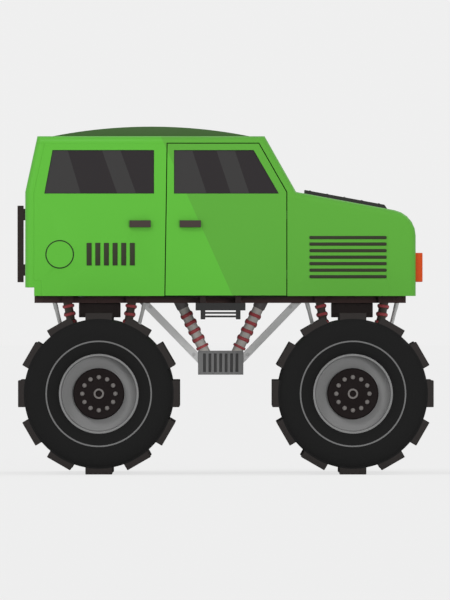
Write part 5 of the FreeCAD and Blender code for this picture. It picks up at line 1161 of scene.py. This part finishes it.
# Seats: (name, rear face, distances of their middles from the centre plane, width).
shells = []
for name, rear_x, middles, width in (("front_seat", -0.300, (-0.400, 0.400), 0.520), ("bench", -1.500, (0.0,), 1.300)):
    half = width / 2
    cushion = stuffed((0.165, -half + 0.008, 0.0), (SEAT_LENGTH - 0.004, half - 0.008, PAD_DEPTH))
    back_length = sqrt((BACK_TOP - cushion_top) ** 2 + BACK_RAKE ** 2) - 0.03
    # The back is made lying down, its length along X, and stood up against its shell.
    back = stuffed((0.0, -half + 0.008, 0.0), (back_length, half - 0.008, BACK_THICKNESS - 0.045))
    stand = back_lean @ Matrix.Rotation(-pi / 2, 4, "Y") @ Matrix.Rotation(pi, 4, "Z")
    side_profile = [(0.004, FLOOR_TOP), (SEAT_LENGTH - 0.03, FLOOR_TOP), (SEAT_LENGTH - 0.012, FLOOR_TOP + 0.04),
                    (SEAT_LENGTH - 0.012, cushion_top - PAD_DEPTH - 0.006), (0.15, cushion_top - PAD_DEPTH - 0.006),
                    (0.12, cushion_top - PAD_DEPTH + 0.03), (0.035 - BACK_RAKE * 0.95, BACK_TOP - 0.03),
                    (0.004 - BACK_RAKE, BACK_TOP - 0.03), (0.004 - BACK_RAKE * 0.4, cushion_top)]
    shell = prism_mesh(side_profile, -half + 0.002, half - 0.002, shell_plastic, 0.008)
    for middle in middles:
        place = Matrix.Translation((rear_x, middle, 0))
        shells.append((shell, place @ Matrix.Rotation(pi / 2, 4, "X")))
        side = "right" if middle < 0 else "left"
        tag = name if len(middles) == 1 else name + "_" + side
        cushion_place = place @ Matrix.Translation((0, 0, cushion_top - PAD_DEPTH))
        back_place = place @ Matrix.Translation((0.045 - BACK_RAKE * 0.45, 0, cushion_top + 0.004)) @ stand
        gathered(tag + "_cushion", [(cushion, cushion_place)], "chassis", 180.0)
        gathered(tag + "_back", [(back, back_place)], "chassis", 180.0)
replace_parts(gathered("seat_shells", shells, "chassis"), "seats")

# ------------------------------------------------------------------ dash, floor and engine
# A moulded dash with round dials, slatted vents and a three-spoke wheel; painted steel floor and
# firewall; and under the bonnet an iron engine with its cover, air cleaner and pulleys.
dash_plastic = finish_of("dash_plastic", srgb(50, 50, 52), 0.65, grain=80.0, wear=0.05, bump=0.0003)
dial_black = finish_of("dial_black", srgb(22, 22, 24), 0.4, wear=0.03)
dial_rim = finish_of("dial_rim", srgb(150, 150, 150), 0.3, metallic=0.8, wear=0.03)
upright = Matrix.Rotation(pi / 2, 4, "X")
dash_outline = [(0.6895, 2.5205), (0.575, 2.5205), (0.540, 2.560), (0.5225, 2.640), (0.5225, 2.760), (0.535, 2.805),
                (0.570, 2.8265), (0.6895, 2.8295)]
dash = prism_mesh(dash_outline, -0.7195, 0.7195, dash_plastic, 0.008, 3)
WHEEL_RAKE = radians(25)
WHEEL_HUB = Vector((0.520, 0.400, 2.675)) + Vector((-cos(WHEEL_RAKE), 0, sin(WHEEL_RAKE))) * 0.210
hub_place = Matrix.Translation(WHEEL_HUB) @ Vector((-cos(WHEEL_RAKE), 0, sin(WHEEL_RAKE))).to_track_quat(
    "Z", "Y").to_matrix().to_4x4()
rim_turns = [2 * pi * n / 16 for n in range(16)]
wheel_rim = lathe_mesh([(0.0148 * sin(turn), 0.1745 + 0.0148 * cos(turn)) for turn in rim_turns], dash_plastic, 72,
                       closed=True)
wheel_hub = lathe_mesh([(-0.012, 0.0), (-0.012, 0.030), (0.0, 0.042), (0.010, 0.040), (0.014, 0.030), (0.014, 0.0)],
                       dash_plastic, 32)
wheel_spokes = ring_of(block_mesh((0.030, -0.014, -0.006), (0.166, 0.014, 0.003), dash_plastic, 0.003), 3)
column = lathe_mesh([(-0.205, 0.0), (-0.205, 0.024), (-0.07, 0.024), (-0.05, 0.016), (-0.008, 0.016), (-0.008, 0.0)],
                    dash_plastic, 24)
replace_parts(gathered("dash_moulding", [
    (dash, upright), (wheel_rim, hub_place), (wheel_hub, hub_place), (wheel_spokes, hub_place), (column, hub_place),
], "chassis"), "dashboard")
dial = lathe_mesh([(0.0, 0.0), (0.0, 0.046), (0.004, 0.046), (0.004, 0.041), (0.002, 0.041), (0.002, 0.0)], dial_rim, 40)
dial_face = lathe_mesh([(0.002, 0.0), (0.002, 0.0405), (0.0028, 0.0405), (0.0028, 0.0)], dial_black, 40)
needle = block_mesh((-0.0012, -0.004, 0.0028), (0.0012, 0.032, 0.0036), dial_rim, 0.0003)
vent = block_mesh((-0.075, -0.030, 0.0), (0.075, 0.030, 0.0015), dial_black, 0.0005)
vent_slat = block_mesh((-0.070, -0.0025, 0.0015), (0.070, 0.0025, 0.0035), dash_plastic, 0.0005)
facing_rear = Matrix.Rotation(-pi / 2, 4, "Z") @ Matrix.Rotation(pi / 2, 4, "X")
DASH_FACE = 0.5225
dials = [Matrix.Translation((DASH_FACE, 0.400 + step, 2.715)) @ facing_rear for step in (-0.115, 0.0, 0.115)]
vents = [Matrix.Translation((DASH_FACE, y, 2.715)) @ facing_rear for y in (-0.60, -0.10, 0.10, 0.61)]
gathered("dash_dials", [(dial, place) for place in dials], "chassis")
gathered("dash_dial_faces", [(dial_face, place) for place in dials], "chassis")
gathered("dash_needles", [(needle, place @ Matrix.Rotation(0.7, 4, "Z")) for place in dials], "chassis")
gathered("dash_vents", [(vent, place) for place in vents], "chassis")
gathered("dash_vent_slats", [(vent_slat, place @ Matrix.Translation((0, step * 0.011, 0)))
                             for place in vents for step in (-2, -1, 0, 1, 2)], "chassis")
for inner_panel in ("floor_pan", "firewall"):
    refined(inner_panel, cradle_paint)

engine_iron = finish_of("engine_iron", srgb(82, 82, 84), 0.55, metallic=0.3, grain=50.0, wear=0.08, bump=0.0005)
ENGINE_REAR, ENGINE_FRONT, ENGINE_SIDE, ENGINE_BOTTOM, ENGINE_TOP = 0.930, 1.590, 0.250, 1.854, 2.454
ribs = [block_mesh((0.975 + n * 0.085, -0.199, 1.95), (0.987 + n * 0.085, 0.199, 2.20), engine_iron, 0.003)
        for n in range(7)]
engine_parts = [
    block_mesh((0.95, -0.19, 1.93), (1.53, 0.19, 2.24), engine_iron, 0.012),
    block_mesh((0.97, -0.14, 1.855), (1.45, 0.14, 1.93), engine_iron, 0.012),
    block_mesh((0.96, -0.17, 2.24), (1.52, 0.17, 2.33), engine_iron, 0.008),
    block_mesh((1.00, -0.11, 2.33), (1.48, 0.11, 2.395), engine_iron, 0.02),
    block_mesh((0.99, -0.235, 2.26), (1.49, -0.17, 2.31), engine_iron, 0.018),
    block_mesh((0.99, 0.17, 2.26), (1.49, 0.235, 2.31), engine_iron, 0.018),
    block_mesh((1.52, -0.15, 1.95), (1.545, 0.15, 2.30), engine_iron, 0.006),
] + ribs
cleaner = lathe_mesh([(0.0, 0.0), (0.0, 0.105), (0.008, 0.125), (0.040, 0.130), (0.050, 0.120), (0.052, 0.020),
                      (0.058, 0.018), (0.058, 0.0)], engine_iron, 48)
pulley = lathe_mesh([(0.0, 0.0), (0.0, 0.03), (0.012, 0.03), (0.012, 0.075), (0.018, 0.078), (0.024, 0.068),
                     (0.030, 0.078), (0.036, 0.075), (0.036, 0.02), (0.044, 0.018), (0.044, 0.0)], engine_iron, 40)
engine_bodies = [(part, Matrix.Identity(4)) for part in engine_parts]
engine_bodies += [(cleaner, Matrix.Translation((1.22, 0, 2.394)))]
engine_bodies += [(pulley, Matrix.Translation((1.545, y, z)) @ forward) for y, z in ((0.0, 2.02), (0.10, 2.20), (-0.10, 2.20))]
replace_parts(gathered("engine_unit", engine_bodies, "chassis"), "engine")
bolts("engine_bolts", [(0.985 + n * 0.102, side * 0.155, 2.33) for n in range(6) for side in (-1, 1)], (0, 0, 0),
      0.010, 0.008, engine_iron, "chassis")

# ------------------------------------------------------------------ radiator
# A finned core of flat tubes between two tanks, painted black. It stands on the frame's front member,
# close behind the grille, and is filled through a cap on its top tank.
core_black = finish_of("core_black", srgb(40, 39, 38), 0.6, metallic=0.2, wear=0.06)
tank_black = finish_of("tank_black", srgb(58, 57, 56), 0.5, metallic=0.3, wear=0.06)
CORE_REAR, CORE_FRONT, CORE_HALF_WIDTH = 1.803, 1.847, 0.385
CORE_FOOT, CORE_TOP = 1.925, 2.465
TUBE_PITCH, FIN_PITCH = 0.014, 0.012
TANK_REAR, TANK_FRONT, TANK_HALF_WIDTH, TANK_FOOT, TANK_TOP = 1.790, 1.860, 0.405, 1.8545, 2.530
tube = block_mesh((CORE_REAR, -0.002, CORE_FOOT), (CORE_FRONT, 0.002, CORE_TOP), core_black, 0.0)
fin = block_mesh((CORE_REAR + 0.003, -CORE_HALF_WIDTH, -0.0008), (CORE_FRONT - 0.003, CORE_HALF_WIDTH, 0.0008),
                 core_black, 0.0)
tube_count = int(2 * CORE_HALF_WIDTH / TUBE_PITCH)
fin_count = int((CORE_TOP - CORE_FOOT) / FIN_PITCH)
unmoved = Matrix.Identity(4)
gathered("radiator_core", [
    (spread(tube, [(0, -CORE_HALF_WIDTH + (n + 0.5) * TUBE_PITCH, 0) for n in range(tube_count)]), unmoved),
    (spread(fin, [(0, 0, CORE_FOOT + (n + 0.5) * FIN_PITCH) for n in range(fin_count)]), unmoved),
], "chassis")
filler_cap = lathe_mesh([(-0.004, 0.0), (-0.004, 0.020), (0.012, 0.020), (0.012, 0.030), (0.020, 0.030), (0.024, 0.024),
                         (0.024, 0.0)], tank_black, 32)
gathered("radiator_tanks", [
    (block_mesh((TANK_REAR, -TANK_HALF_WIDTH, CORE_TOP), (TANK_FRONT, TANK_HALF_WIDTH, TANK_TOP), tank_black, 0.012),
     unmoved),
    (block_mesh((TANK_REAR, -TANK_HALF_WIDTH, TANK_FOOT), (TANK_FRONT, TANK_HALF_WIDTH, CORE_FOOT), tank_black, 0.012),
     unmoved),
    (block_mesh((TANK_REAR, CORE_HALF_WIDTH, CORE_FOOT - 0.01), (TANK_FRONT, TANK_HALF_WIDTH, CORE_TOP + 0.01),
                tank_black, 0.003), unmoved),
    (block_mesh((TANK_REAR, -TANK_HALF_WIDTH, CORE_FOOT - 0.01), (TANK_FRONT, -CORE_HALF_WIDTH, CORE_TOP + 0.01),
                tank_black, 0.003), unmoved),
    (filler_cap, Matrix.Translation((1.825, 0.27, TANK_TOP))),
], "chassis")
